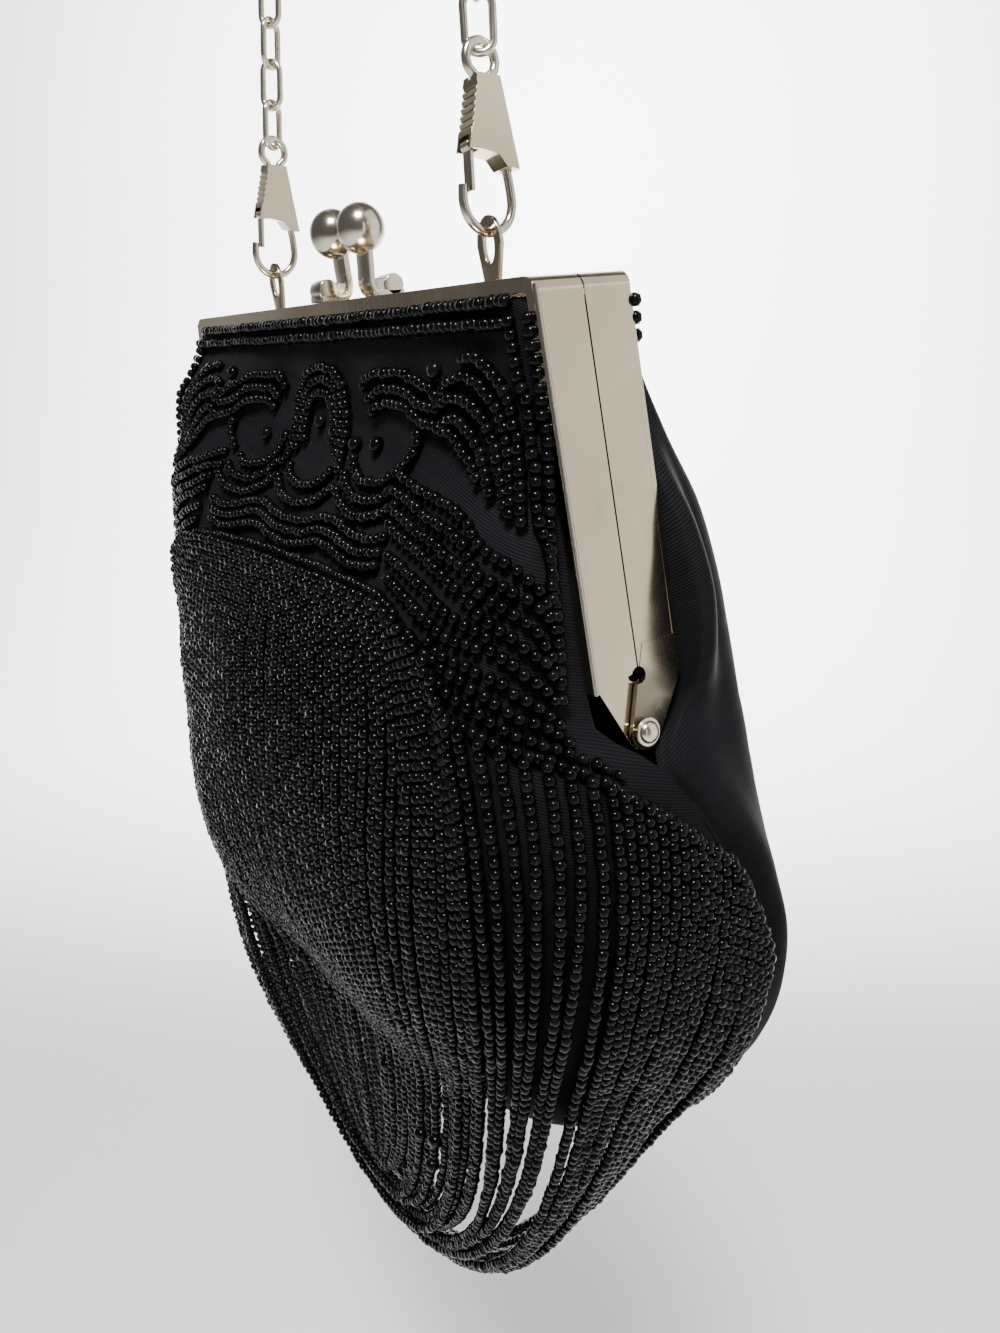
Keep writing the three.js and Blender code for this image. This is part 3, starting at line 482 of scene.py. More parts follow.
def black_satin(name):
    """Black satin: a fine twill, a soft nap of blue and violet, slight pulls across it, and painted shade
    that darkens it towards the bottom of the pouch.
    """
    finish = Finish(name, Specular_IOR_Level=0.012)
    cloth = finish.node("ShaderNodeUVMap")
    turn = {"Vector": cloth, "Rotation": (0.0, 0.0, math.radians(17.0))}
    lay = finish.node("ShaderNodeMapping", None, turn)
    twill = finish.node("ShaderNodeTexWave", {"bands_direction": "Y"}, {
        "Vector": lay, "Scale": 700.0, "Distortion": 0.8, "Detail": 1.0, "Detail Scale": 1.5})
    long = finish.node("ShaderNodeMapping", None, {"Vector": lay, "Scale": (0.12, 1.0, 1.0)})
    slub = finish.noise(420.0, 2.0, long)
    nap = finish.noise(26.0, 4.0)
    tint = finish.mixed(nap.band(0.35, 0.7), SATIN_DARK, SATIN_NAP)
    thread = (0.55 * twill + 0.45 * slub).band(0.2, 0.85)
    colour = finish.mixed(thread * 0.55, tint, SATIN_THREAD)
    _, height = finish.bag_place()
    # Painted shade: the satin's colour darkens to SATIN_SHADOW towards the bottom of the pouch.
    finish.drive("Base Color", finish.mixed(height.band(*SATIN_SHADE), SATIN_SHADOW, colour))
    finish.drive("Roughness", 0.48 + 0.12 * nap - 0.10 * thread)
    finish.bump(thread, 0.32, 0.00022)
    return finish.material


def black_glass(name):
    """Opaque black glass beads: glossy, each with its own slight tone and wear."""
    finish = Finish(name, Specular_IOR_Level=0.10, Coat_Roughness=0.05)
    tone = finish.node("ShaderNodeAttribute", {"attribute_name": "tone"}, output="Fac")
    haze = finish.noise(1400.0, 2.0)
    finish.drive("Base Color", finish.mixed(tone, GLASS_DARK, GLASS_WORN))
    finish.drive("Roughness", 0.08 + 0.09 * tone + 0.07 * haze)
    finish.drive("Coat Weight", 0.05 - 0.05 * tone)
    return finish.material


NICKEL = nickel_plate("nickel_plate", **PLATE)
BENT_NICKEL = nickel_plate("bent_nickel_plate", **PLATE, bend=PLATE_BEND)
BRIGHT_NICKEL = nickel_plate("bright_nickel", **BRIGHT)
SATIN = black_satin("black_satin")
GLASS = black_glass("black_glass")


# Curves and the pouch's surface

def smooth_table(places, values):
    """A curve through the values that doesn't overshoot between them."""
    xs, ys = np.asarray(places, float), np.asarray(values, float)
    step = np.diff(xs)
    slope = np.diff(ys) / step
    same = slope[:-1] * slope[1:] > 0
    total = np.where(same, slope[:-1] + slope[1:], 1.0)
    lean = np.concatenate([slope[:1], np.where(same, 2 * slope[:-1] * slope[1:] / total, 0.0), slope[-1:]])

    def at(x):
        x = np.clip(x, xs[0], xs[-1])
        i = np.clip(np.searchsorted(xs, x, side="right") - 1, 0, len(step) - 1)
        t = (x - xs[i]) / step[i]
        rise = t * t * (3 - 2 * t)
        bend = step[i] * (lean[i] * (t**3 - 2 * t**2 + t) + lean[i + 1] * (t**3 - t**2))
        return ys[i] + (ys[i + 1] - ys[i]) * rise + bend

    return at


LEVELS = np.array(POUCH_ROWS)
POUCH = {name: smooth_table(LEVELS[:, 0], LEVELS[:, k]) for k, name in enumerate(POUCH_COLUMNS)}
POUCH_END = LEVELS[-1, 0]


def section(drop, side):
    """Half width, seam, depth and squareness of one panel at a level; side is front or back."""
    seam = POUCH[f"seam_{side}"](drop)
    return POUCH["half"](drop), seam, POUCH[side](drop) - seam, POUCH[f"round_{side}"](drop)


def reach(points, side="front"):
    """1 on a panel's surface, less inside it and more outside."""
    half, seam, depth, squareness = section(-points[..., 2], side)
    across = np.abs(points[..., 0]) / half
    forward = np.maximum((points[..., 1] - seam) / depth, 0.0)
    return (across**squareness + forward**squareness) ** (1 / squareness)


def outward(points, side="front"):
    steps = 0.05 * np.eye(3)
    slope = np.stack([reach(points + s, side) - reach(points - s, side) for s in steps], axis=-1)
    return slope / np.linalg.norm(slope, axis=-1, keepdims=True)


def on_chart(x, drop, side="front"):
    """The surface point at bag x and drop."""
    half, seam, depth, squareness = section(drop, side)
    part = np.clip(np.abs(x) / half, 0.0, 0.999)
    y = seam + depth * (1 - part**squareness) ** (1 / squareness)
    return np.stack([np.asarray(x, float), y, -np.asarray(drop, float)], axis=-1)


def round_section(turn, drop, side="front"):
    """The surface point at an angle round the section, 0 at the middle and 90 at the seam."""
    half, seam, depth, squareness = section(drop, side)
    across, forward = np.sin(np.radians(turn)), np.cos(np.radians(turn))
    size = (np.abs(across) ** squareness + np.abs(forward) ** squareness) ** (-1 / squareness)
    return np.stack([half * across * size, seam + depth * forward * size, -drop + 0 * across], axis=-1)


def lifted(points, lift, side="front"):
    return points + lift * outward(points, side)


def curve(points, count=160):
    """A smooth curve through a few points."""
    points = np.asarray(points, float)
    along = np.concatenate([[0], np.cumsum(np.linalg.norm(np.diff(points, axis=0), axis=1))])
    where = np.linspace(0, along[-1], count)
    return np.stack([smooth_table(along, column)(where) for column in points.T], axis=-1)


def spaced(points, pitch):
    """Places at an even pitch along a line, and the line's directions there."""
    along = np.concatenate([[0], np.cumsum(np.linalg.norm(np.diff(points, axis=0), axis=1))])
    count = max(int(round(along[-1] / pitch)), 2)
    where = (np.arange(count) + 0.5) * along[-1] / count
    places = np.stack([np.interp(where, along, column) for column in points.T], axis=-1)
    ahead = np.stack([np.interp(where + 0.4, along, column) for column in points.T], axis=-1)
    behind = np.stack([np.interp(where - 0.4, along, column) for column in points.T], axis=-1)
    directions = ahead - behind
    return places, directions / np.linalg.norm(directions, axis=1, keepdims=True)


def eased(value, low, high):
    """0 at low and 1 at high, with a soft start and end."""
    part = np.clip((value - low) / (high - low), 0, 1)
    return part * part * (3 - 2 * part)


left_bulge = smooth_table(LEFT_BULGE["drops"], LEFT_BULGE["sizes"])
side_sag = smooth_table(SIDE_SAG["drops"], SIDE_SAG["sizes"])


def slumped(points):
    """Points of the even purse, moved as its left front bulges and its sides sag."""
    points = np.asarray(points, float)
    x, y, drop = points[..., 0], points[..., 1], -points[..., 2]
    bulge = left_bulge(drop) * eased(-x, *SLUMP["bulge_x"]) * eased(SLUMP["bulge_y"] - y, 0, SLUMP["bulge_y"])
    share = np.where(x < 0, SLUMP["left"], SLUMP["right"])
    sag = side_sag(drop) * share * eased(np.abs(x), *SLUMP["sag_x"]) * eased(y, *SLUMP["sag_y"])
    return points + np.stack([np.sign(x) * sag, sag - bulge, 0 * sag], axis=-1)


# Cloth panels

def back_folds(points, turn, drop):
    """The satin puffs out behind the frame's sides, with soft pulls that run down from there."""
    away = np.abs(turn)
    side = eased(away, *PUFF["turns"]) * eased(90 - away, 0, PUFF["seam"])
    puff = smooth_table(PUFF["drops"], PUFF["sizes"])(drop) * side
    pull = (PULL["size"] * eased(away, *PULL["turns"]) * np.sin(away * 0.2 + drop * 0.05)
            * eased(drop, *PULL["start"]) * (1 - eased(drop, *PULL["end"])))
    ripple = (RIPPLE["size"] * np.sin(points[..., 0] * 0.13 + 0.4 * np.sin(drop * 0.05))
              * np.exp(-(((drop - RIPPLE["drop"]) / RIPPLE["reach"]) ** 2)))
    return puff + pull + ripple


def front_folds(points, turn, drop):
    """A slight quilting between the bead rows."""
    fade = np.exp(-(((drop - QUILT["drop"]) / QUILT["reach"]) ** 2))
    return QUILT["size"] * np.sin(points[..., 0] * 0.21) * np.sin(drop * 0.33) * fade


def cloth_panel(name, side, folds):
    turns = 90 * np.sin(np.linspace(-math.pi / 2, math.pi / 2, CLOTH["columns"] + 1))
    top = LEVELS[0, 0]
    spacing = np.sin(np.linspace(0, math.pi / 2, CLOTH["rows"] + 1)) ** 1.15
    drops = top + (POUCH_END - top) * spacing
    turn, drop = np.meshgrid(turns, drops)
    points = round_section(turn, drop, side)
    fixed = eased(90 - np.abs(turn), 0, 3) * eased(drop, top, top + 12)
    away = outward(round_section(turn * 0.999, drop, side), side)
    points = slumped(points + (fixed * folds(points, turn, drop))[..., None] * away)
    rows, columns = turn.shape
    index = np.arange(rows * columns).reshape(rows, columns)
    quads = np.stack([index[:-1, :-1], index[1:, :-1], index[1:, 1:], index[:-1, 1:]], axis=-1).reshape(-1, 4)
    if side == "back":
        quads = quads[:, ::-1]
    piece = from_arrays(name, in_row(points.reshape(-1, 3)), quads.ravel(), [4] * len(quads))
    flat = piece.data.uv_layers.new(name="cut")
    steps = np.linalg.norm(np.diff(points, axis=1), axis=2)
    along = np.concatenate([np.zeros((rows, 1)), np.cumsum(steps, axis=1)], 1)
    along -= along[:, columns // 2:columns // 2 + 1]
    cut = np.stack([along, -drop], axis=-1).reshape(-1, 2)[quads.ravel()] * MM
    flat.data.foreach_set("uv", cut.astype(np.float32).ravel())
    with_modifier(piece, "SOLIDIFY", thickness=CLOTH["thick"] * MM, offset=-1.0)
    return piece


# Beads

def bead_shape():
    """One seed bead round the X axis: rings of points, quads between them and two flat ends."""
    sides = BEAD["sides"]
    turn = 2 * math.pi * np.arange(sides) / sides
    rings = [np.stack([np.full(sides, t * BEAD["length"] / 2), r * BEAD["width"] / 2 * np.cos(turn),
                       r * BEAD["width"] / 2 * np.sin(turn)], axis=-1) for t, r in BEAD_PROFILE]
    faces = []
    for ring in range(len(rings) - 1):
        for k in range(sides):
            a, b = ring * sides + k, ring * sides + (k + 1) % sides
            faces.append([a, a + sides, b + sides, b])
    last = (len(rings) - 1) * sides
    faces.append(list(range(sides)))
    faces.append([last + k for k in reversed(range(sides))])
    return np.concatenate(rings), faces


BEAD_POINTS, BEAD_FACES = bead_shape()


class Beads:
    """A growing set of beads that becomes one mesh."""

    def __init__(self, seed):
        self.random = np.random.default_rng(seed)
        self.places, self.directions, self.sizes = [], [], []

    def string(self, line, pitch=BEAD["pitch"], size=1.0, stray=STRAY["loose"]):
        places, directions = spaced(slumped(line), pitch)
        places = places + self.random.normal(0, stray, places.shape)
        directions = directions + self.random.normal(0, STRAY["turn"], places.shape)
        self.places.append(places)
        self.directions.append(directions / np.linalg.norm(directions, axis=1, keepdims=True))
        self.sizes.append(size * (1 + self.random.normal(0, STRAY["size"], len(places))))

    def single(self, place, direction, size):
        self.places.append(slumped([place]))
        self.directions.append(np.array([direction]))
        self.sizes.append(np.array([size]))

    def piece(self, name):
        places, axes = np.concatenate(self.places), np.concatenate(self.directions)
        sizes = np.concatenate(self.sizes)
        count = len(places)
        helper = np.where(np.abs(axes[:, 2:3]) < 0.8, [[0.0, 0.0, 1.0]], [[0.0, 1.0, 0.0]])
        across = np.cross(axes, helper)
        across /= np.linalg.norm(across, axis=1, keepdims=True)
        over = np.cross(axes, across)
        roll = self.random.uniform(0, 2 * math.pi, (count, 1))
        side = np.cos(roll) * across + np.sin(roll) * over
        up = np.cross(axes, side)
        shape = (BEAD_POINTS[None, :, 0:1] * axes[:, None] + BEAD_POINTS[None, :, 1:2] * side[:, None]
                 + BEAD_POINTS[None, :, 2:3] * up[:, None])
        points = (places[:, None] + sizes[:, None, None] * shape).reshape(-1, 3)
        corners = np.concatenate([np.asarray(face) for face in BEAD_FACES])
        starts = len(BEAD_POINTS) * np.arange(count)
        loops = (starts[:, None] + corners[None]).ravel()
        made = from_arrays(name, in_row(points), loops, [len(face) for face in BEAD_FACES] * count)
        tone = made.data.attributes.new("tone", "FLOAT", "POINT")
        wear = self.random.uniform(0, 1, count) ** 2
        tone.data.foreach_set("value", np.repeat(wear, len(BEAD_POINTS)).astype(np.float32))
        return made


def mirrored(chart_row):
    return [(2 * MOTIF_MIDDLE - x, drop) for x, drop in chart_row]


def sewn(beads, chart_row, pitch=BEAD["pitch"], size=1.0):
    """A row of beads sewn on the front along a line of the chart."""
    line = curve(chart_row)
    surface = on_chart(line[:, 0], line[:, 1])
    beads.string(lifted(surface, SEWN_LIFT * BEAD["width"]), pitch, size, STRAY["sewn"])


def border_beads():
    beads = Beads(SEEDS["border"])
    for drop in TOP_ROWS:
        row = [(-TOP_ROW["half"], drop), (0, drop + TOP_ROW["sag"]), (TOP_ROW["half"], drop)]
        sewn(beads, row, TOP_ROW["pitch"])
    for row in SIDE_ROWS:
        line = curve(row)
        on_both_sides(beads, on_front(line[:, 0], line[:, 1]), LOOSE_PITCH["side"])
    for drop in BACK_ROWS:
        line = curve([(-BACK_ROW_HALF, drop), (0, drop), (BACK_ROW_HALF, drop)])
        surface = on_chart(line[:, 0], line[:, 1], "back")
        beads.string(lifted(surface, SEWN_LIFT * BEAD["width"], "back"))
        for sign in (-1, 1):
            beads.single((sign * BACK_CORNER[0], BACK_CORNER[1], -drop), (0.0, 1.0, 0.0), 1.0)
    return beads.piece("border_beads")


def scroll_beads():
    beads = Beads(SEEDS["scroll"])
    waves = [[(x, drop + step) for x, drop in WAVE] for step in WAVE_STEPS]
    for row in [*RAINBOWS, *OVAL_ARCS, *SAGGING_ARCS, *HORSESHOE, *SMILES, *waves]:
        sewn(beads, row)
        sewn(beads, mirrored(row))
    for x, drop in DOTS:
        for place in {x, 2 * MOTIF_MIDDLE - x}:
            surface = on_chart(np.array([place]), np.array([drop]))
            beads.single(lifted(surface, DOT_LIFT)[0], outward(surface)[0], BEAD["dot"] / BEAD["width"])
    return beads.piece("scroll_beads")


def on_front(turn, drop):
    """The front's point at an angle, 0 at the middle and 90 at the seam."""
    half, seam, depth, squareness = section(drop, "front")
    across = np.sin(np.radians(turn)) ** (2 / squareness)
    forward = np.cos(np.radians(turn)) ** (2 / squareness)
    return np.stack([half * across, seam + depth * forward, -drop], axis=-1)


def on_both_sides(beads, line, pitch):
    """A row that is the same on the right and the left."""
    raised = lifted(line, SEWN_LIFT * BEAD["width"])
    beads.string(raised, pitch, 1.0, STRAY["sewn"])
    beads.string(raised * np.array([-1.0, 1.0, 1.0]), pitch, 1.0, STRAY["sewn"])


def fan_beads():
    """Rows that fan out over the shoulders of the pouch."""
    beads = Beads(SEEDS["fan"])
    for row in FAN:
        line = curve(row)
        on_both_sides(beads, on_front(line[:, 0], line[:, 1]), LOOSE_PITCH["fan"])
    return beads.piece("fan_beads")


def header_line():
    right = curve(HEADER, 400)
    surface = on_front(right[:, 0], right[:, 1])
    left = surface[:0:-1] * np.array([-1.0, 1.0, 1.0])
    return np.concatenate([left, surface])


def header_beads():
    beads = Beads(SEEDS["header"])
    beads.string(lifted(header_line(), HEADER_LIFT * BEAD["width"]))
    return beads.piece("header_beads")


def swag_line(start, share, drawn, sway):
    """One string that hangs from both ends of the header's row in a loop, resting on the pouch."""
    names = ("low", "plane", "aside")
    low, low_plane, aside = (np.interp(drawn, SWAG_SHARES, SWAGS[name]) for name in names)
    bottom, top = (np.interp(share, SWAG_SHARES, SWAGS[name]) for name in ("bottom", "top"))
    cos, sin = math.cos(BAG_TILT), math.sin(BAG_TILT)
    start_plane = start[1] * cos - start[2] * sin
    turn = np.linspace(0, math.pi, FRINGE["steps"] + 1)
    x = -start[0] * np.sign(np.cos(turn)) * np.abs(np.cos(turn)) ** (2 / bottom)
    fall = np.abs(np.sin(turn)) ** (2 / top)
    drop = -start[2] + (low + sway[0] + start[2]) * fall
    plane = start_plane + (low_plane + sway[1] - start_plane) * fall
    points = np.stack([x + (aside + sway[2]) * fall, (plane - drop * sin) / cos, -drop], axis=-1)
    return clear_of_pouch(points, FRINGE["lift"])


def pushed_out(points, lift):
    """Moves the points that would lie in the pouch out to its surface, by the lift."""
    below = np.clip((-points[:, 2] - 105) / 95, 0, 1)
    half, seam, depth, squareness = section(-points[:, 2] - lift * below, "front")
    half, depth = half + lift, depth - lift
    across = np.abs(points[:, 0]) / half
    forward = np.maximum((points[:, 1] - seam) / depth, 0.0)
    size = np.maximum((across**squareness + forward**squareness) ** (1 / squareness), 1e-6)
    inside = (size < 1) & (-points[:, 2] < POUCH_END + lift)
    grow = np.where(inside, 1 / size, 1.0)
    return np.stack([points[:, 0] * grow, seam + (points[:, 1] - seam) * grow, points[:, 2]], axis=-1)


def clear_of_pouch(points, lift):
    """A string pushed out of the pouch, without the kinks where it leaves the surface."""
    moved = pushed_out(points, lift) - points
    reach_along = len(points) // 32
    weights = np.hanning(2 * reach_along + 3)[1:-1]
    padded = np.pad(moved, ((reach_along, reach_along), (0, 0)), mode="edge")
    soft = np.stack([np.convolve(column, weights / weights.sum(), "valid") for column in padded.T], axis=-1)
    return pushed_out(points + soft, 0.8 * lift)


def fringe_beads():
    """The strings in a few pieces, from the inner loops out. Their low ends hang in bundles."""
    line = lifted(header_line(), FRINGE["lift"])
    along = np.concatenate([[0], np.cumsum(np.linalg.norm(np.diff(line, axis=0), axis=1))])
    shares = np.interp(np.arange(FRINGE["swags"]), STRING_NUMBERS, STRING_SHARES)
    places = np.array(BUNDLES["places"])
    pieces = []
    for number, group in enumerate(np.array_split(shares, FRINGE["pieces"])):
        beads = Beads(SEEDS["fringe"] + number)
        for share in group:
            place = along[-1] * (0.5 + 0.5 * share)
            start = np.array([np.interp(place, along, column) for column in line.T])
            bundle = places[np.argmin(np.abs(places - share))]
            sway = beads.random.normal(0, 1, 3) * np.array(SWAG_SWAY)
            drawn = share + BUNDLES["draw"] * (bundle - share)
            beads.string(swag_line(start, share, drawn, sway), BEAD["pitch"], 1.0, STRAY["sewn"])
        if number == 0:
            for place in END_BEADS:
                beads.single(place, (0.0, 0.0, 1.0), BEAD["end"] / BEAD["width"])
        pieces.append(beads.piece(f"fringe_{number + 1}"))
    return pieces


# Metal

def wire(name, route, radius, matrix, closed=False):
    """A round wire along a route, made from a bevelled curve."""
    data = bpy.data.curves.new(name, "CURVE")
    data.dimensions = "3D"
    data.bevel_depth = radius
    data.bevel_resolution = 4
    data.use_fill_caps = True
    spline = data.splines.new("POLY")
    spline.points.add(len(route) - 1)
    spline.use_cyclic_u = closed
    for point, place in zip(spline.points, route):
        point.co = (*place, 1.0)
    piece = bpy.data.objects.new(name, data)
    bpy.context.scene.collection.objects.link(piece)
    activate(piece)
    bpy.ops.object.convert(target="MESH")
    return smooth(settle(bpy.context.object, matrix))


def arc(centre, radius, start, end, steps):
    turns = np.radians(np.linspace(start, end, steps + 1))
    return [(radius * math.cos(turn), centre + radius * math.sin(turn)) for turn in turns]


def hook_route():
    points = [HOOK_NOSE, *arc(HOOK["loop"], HOOK["loop"], 180, 360, 8), *HOOK_SPINE,
              (HOOK["neck"], HOOK["neck_height"]),
              *arc(HOOK["top"] - HOOK["omega"], HOOK["omega"], -60, 240, 10),
              (-HOOK["neck"], HOOK["neck_height"]), (-HOOK["neck"], HOOK["end"])]
    return [(0.0, y, z) for y, z in curve(points, 150)]


def solid_copy(node, name, edge=METAL_EDGE, segments=3):
    """A copy of a solid with its flat faces made whole and its edges rounded."""
    piece = frame["nodes"][node].copy()
    piece.data = piece.data.copy()
    piece.name = name
    piece.parent = None
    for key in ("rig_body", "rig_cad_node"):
        del piece[key]
    bpy.context.scene.collection.objects.link(piece)
    edit(piece,
         (bpy.ops.mesh.remove_doubles, {"threshold": 0.00002}),
         (bpy.ops.mesh.dissolve_limited, {"angle_limit": math.radians(1.5)}))
    with_modifier(piece, "BEVEL", width=edge * MM, segments=segments, limit_method="ANGLE",
                  angle_limit=math.radians(38), use_clamp_overlap=True)
    smooth(piece, 35)
    return with_modifier(piece, "WEIGHTED_NORMAL", keep_sharp=True)


def ball(radius, place):
    bpy.ops.mesh.primitive_uv_sphere_add(segments=40, ring_count=24, radius=radius, location=place)
    return bpy.context.object


def rounded(piece, width, segments, degrees):
    """Rounds the edges of a piece that are sharper than an angle."""
    return with_modifier(piece, "BEVEL", width=width, segments=segments, limit_method="ANGLE",
                         angle_limit=math.radians(degrees))


def disc(radius, height, place, turn=(0.0, 0.0, 0.0), edge=0.3):
    """A low round head with a rounded rim."""
    bpy.ops.mesh.primitive_cylinder_add(
        vertices=40, radius=radius, depth=height, location=place, rotation=turn)
    return rounded(bpy.context.object, edge, 4, 40)


def strap(profile, width, thick, x, facing):
    """A flat strap bent along a profile of y and z."""
    line = curve(profile, 24)
    bpy.ops.mesh.primitive_plane_add(size=1.0)
    piece = bpy.context.object
    mesh = piece.data
    mesh.clear_geometry()
    points, faces = [], []
    for y, z in line:
        points += [(x - width / 2, facing * y, z), (x + width / 2, facing * y, z)]
    for k in range(len(line) - 1):
        faces.append((2 * k, 2 * k + 1, 2 * k + 3, 2 * k + 2))
    mesh.from_pydata(points, [], faces)
    with_modifier(piece, "SOLIDIFY", thickness=thick, offset=0.0)
    return rounded(piece, 0.28, 3, 50)


def block(size, place):
    bpy.ops.mesh.primitive_cube_add(size=1.0, location=place, scale=size)
    bpy.ops.object.transform_apply(location=True, rotation=True, scale=True)
    return rounded(bpy.context.object, 0.5, 4, 50)


def clasp(name, facing):
    """A ball on a bent strap whose foot ends in a roll. The front ball leans forward a little."""
    x = facing * (CLASP["ball"] + CLASP["gap"] / 2)
    deselect()
    lean = -CLASP["lean"] if facing < 0 else 0.0
    roll = CLASP["roll"]
    block_size = CLASP["block"]
    roll_place = (x, facing * (CLASP["foot"] - roll), CLASP["gap"] + roll)
    parts = [
        ball(CLASP["ball"], (x, lean, CLASP["height"])),
        strap(STRAP_PROFILE, CLASP["width"], CLASP["strap"], x, facing),
        block(block_size, (x, facing * block_size[1] / 2, CLASP["gap"] + block_size[2] / 2)),
        disc(roll, CLASP["width"], roll_place, (0.0, math.pi / 2, 0.0)),
    ]
    return smooth(settle(join(name, parts), BAG_MATRIX), 45)


def lug(name, sign):
    """The eye plate: a flat outline with a long hole, its edges rounded."""
    data = bpy.data.curves.new(name, "CURVE")
    data.dimensions = "2D"
    data.fill_mode = "BOTH"
    data.extrude = LUG["sheet"] / 2 - LUG["edge"]
    data.bevel_depth = LUG["edge"]
    data.bevel_resolution = 3
    height, rim = LUG_HOLE["height"], LUG_HOLE["half_height"] + LUG_HOLE["rim"]
    edge = LUG["edge"]
    turns = np.linspace(0, math.pi, 25)
    crown = [((LUG["eye"] - edge) * math.cos(t), height + (rim - edge) * math.sin(t)) for t in turns]
    neck, tab = LUG["neck"] - edge, LUG_TAB["half"] - edge
    left = [*curve([(-LUG["eye"] + edge, height), (-neck - 0.5, 3.0), (-neck, 0.8)], 12)[1:],
            (-neck, LUG_TAB["top"]), (-tab, LUG_TAB["top"]), (-tab, LUG_TAB["foot"])]
    outline = [*crown, *left, *((-x, z) for x, z in left[::-1])]
    full = np.linspace(0, 2 * math.pi, 33)[:-1]
    hole = [(LUG_HOLE["half_width"] * math.cos(t), height + LUG_HOLE["half_height"] * math.sin(t))
            for t in full]
    for points in (outline, hole):
        spline = data.splines.new("POLY")
        spline.points.add(len(points) - 1)
        spline.use_cyclic_u = True
        for point, (x, z) in zip(spline.points, points):
            point.co = (x, z, 0.0, 1.0)
    piece = bpy.data.objects.new(name, data)
    bpy.context.scene.collection.objects.link(piece)
    activate(piece)
    bpy.ops.object.convert(target="MESH")
    stand = Matrix.Translation((sign * LUG["x"], LUG["y"], 0)) @ Matrix.Rotation(math.pi / 2, 4, "X")
    piece = edit(bpy.context.object, (bpy.ops.mesh.remove_doubles, {"threshold": 0.001}),
                 (bpy.ops.mesh.normals_make_consistent, {"inside": False}))
    return smooth(settle(piece, BAG_MATRIX @ stand), 35)


def dome(radius, height, foot):
    """A round head: a flattened ball cut off at its foot."""
    bpy.ops.mesh.primitive_uv_sphere_add(segments=32, ring_count=16, radius=1.0, location=(0, 0, foot))
    bpy.context.object.scale = (radius, radius, height)
    bpy.ops.object.transform_apply(location=True, rotation=True, scale=True)
    cut = {"plane_co": (0, 0, foot), "plane_no": (0, 0, 1), "clear_inner": True, "use_fill": True}
    return edit(bpy.context.object, (bpy.ops.mesh.bisect, cut))


def hinge_rivet(name, sign):
    """A shank with a flat head inside and a domed one outside."""
    deselect()
    splay = math.atan(FRAME_SIDE["splay"])
    inner = -HINGE["stack"] - HINGE["thick"] / 2
    parts = [
        disc(HINGE["head"], HINGE["thick"], (0, 0, inner)),
        disc(HINGE["shank"], HINGE["stack"] + 0.6, (0, 0, -HINGE["stack"] / 2), edge=0.05),
        disc(HINGE["washer"], HINGE["washer_thick"], (0, 0, HINGE["washer_place"]), edge=0.15),
        dome(HINGE["head"], HINGE["dome"], HINGE["dome_foot"]),
    ]
    drop = HINGE["drop"] / math.cos(splay)
    edge = Matrix.Translation((sign * FRAME_SIDE["half_width"], 0, 0))
    turn = (edge @ Matrix.Rotation(-sign * splay, 4, "Y") @ Matrix.Translation((0, 0, -drop))
            @ Matrix.Rotation(sign * math.pi / 2, 4, "Y"))
    return smooth(settle(join(name, parts), BAG_MATRIX @ turn), 40)


def frame_lip(name, sign):
    """The rolled front edge of a side plate."""
    drops = np.linspace(*LIP["drops"], 12)
    x = FRAME_SIDE["half_width"] + FRAME_SIDE["splay"] * drops - LIP["inset"]
    route = np.stack([sign * x, np.full_like(drops, LIP["y"]), -drops], axis=-1)
    return wire(name, route, LIP["wire"], BAG_MATRIX)


def chain_link():
    """One oval link of round wire, long on Z."""
    straight = (LINK["length"] - LINK["width"]) / 2
    deselect()
    bpy.ops.mesh.primitive_torus_add(
        major_segments=LINK["around"], minor_segments=LINK["section"],
        major_radius=LINK["width"] / 2 - LINK["wire"], minor_radius=LINK["wire"],
        rotation=(math.pi / 2, 0, 0))
    link = bpy.context.object
    bpy.ops.object.transform_apply(location=True, rotation=True, scale=True)
    for vertex in link.data.vertices:
        vertex.co.z += math.copysign(straight, vertex.co.z)
    return link


def chain_places():
    """The middle of each link and the direction of the chain there, from the right hook over the arch."""
    matrix = hook_matrix("right")
    start = Vector(matrix.translation) / MM
    along = (matrix.to_3x3() @ Vector((0, 0, 1))).normalized()
    lean = math.atan2(-along.x, along.z)
    to_first = HOOK["top"] - HOOK["wire"] - LINK["wire"] - CHAIN["clear"] + LINK["length"] / 2 - LINK["wire"]
    total = (CHAIN["links"] - 1) * CHAIN["pitch"] + 2 * to_first
    turn = math.pi - 2 * lean
    radius = (2 * start.x / math.sin(lean) - total) / (2 / math.tan(lean) - turn)
    strand = (start.x - radius * math.cos(lean)) / math.sin(lean)
    places = []
    for k in range(CHAIN["links"]):
        distance = to_first + k * CHAIN["pitch"]
        near = min(distance, total - distance)
        if near < strand:
            place, ahead = start + along * near, along.copy()
        else:
            angle = lean + (near - strand) / radius
            place = Vector((math.cos(angle), 0, math.sin(angle) - 1)) * radius
            ahead = Vector((-math.sin(angle), 0, math.cos(angle)))
        if distance > total / 2:
            place.x, ahead.z = -place.x, -ahead.z
        places.append((place, ahead))
    return places


def chain():
    link = chain_link()
    copies = []
    for k, (place, ahead) in enumerate(chain_places()):
        across = Vector((0, 1, 0))
        basis = Matrix((across.cross(ahead), across, ahead)).transposed().to_4x4()
        roll = Matrix.Rotation(math.radians(CHAIN["roll"] + 90 * (k % 2)), 4, "Z")
        copy = link.copy()
        copy.data = link.data.copy()
        bpy.context.scene.collection.objects.link(copy)
        copies.append(settle(copy, Matrix.Scale(MM, 4) @ Matrix.Translation(place) @ basis @ roll))
    bpy.data.objects.remove(link)
    return smooth(join("chain_links", copies), 60)


# Stage

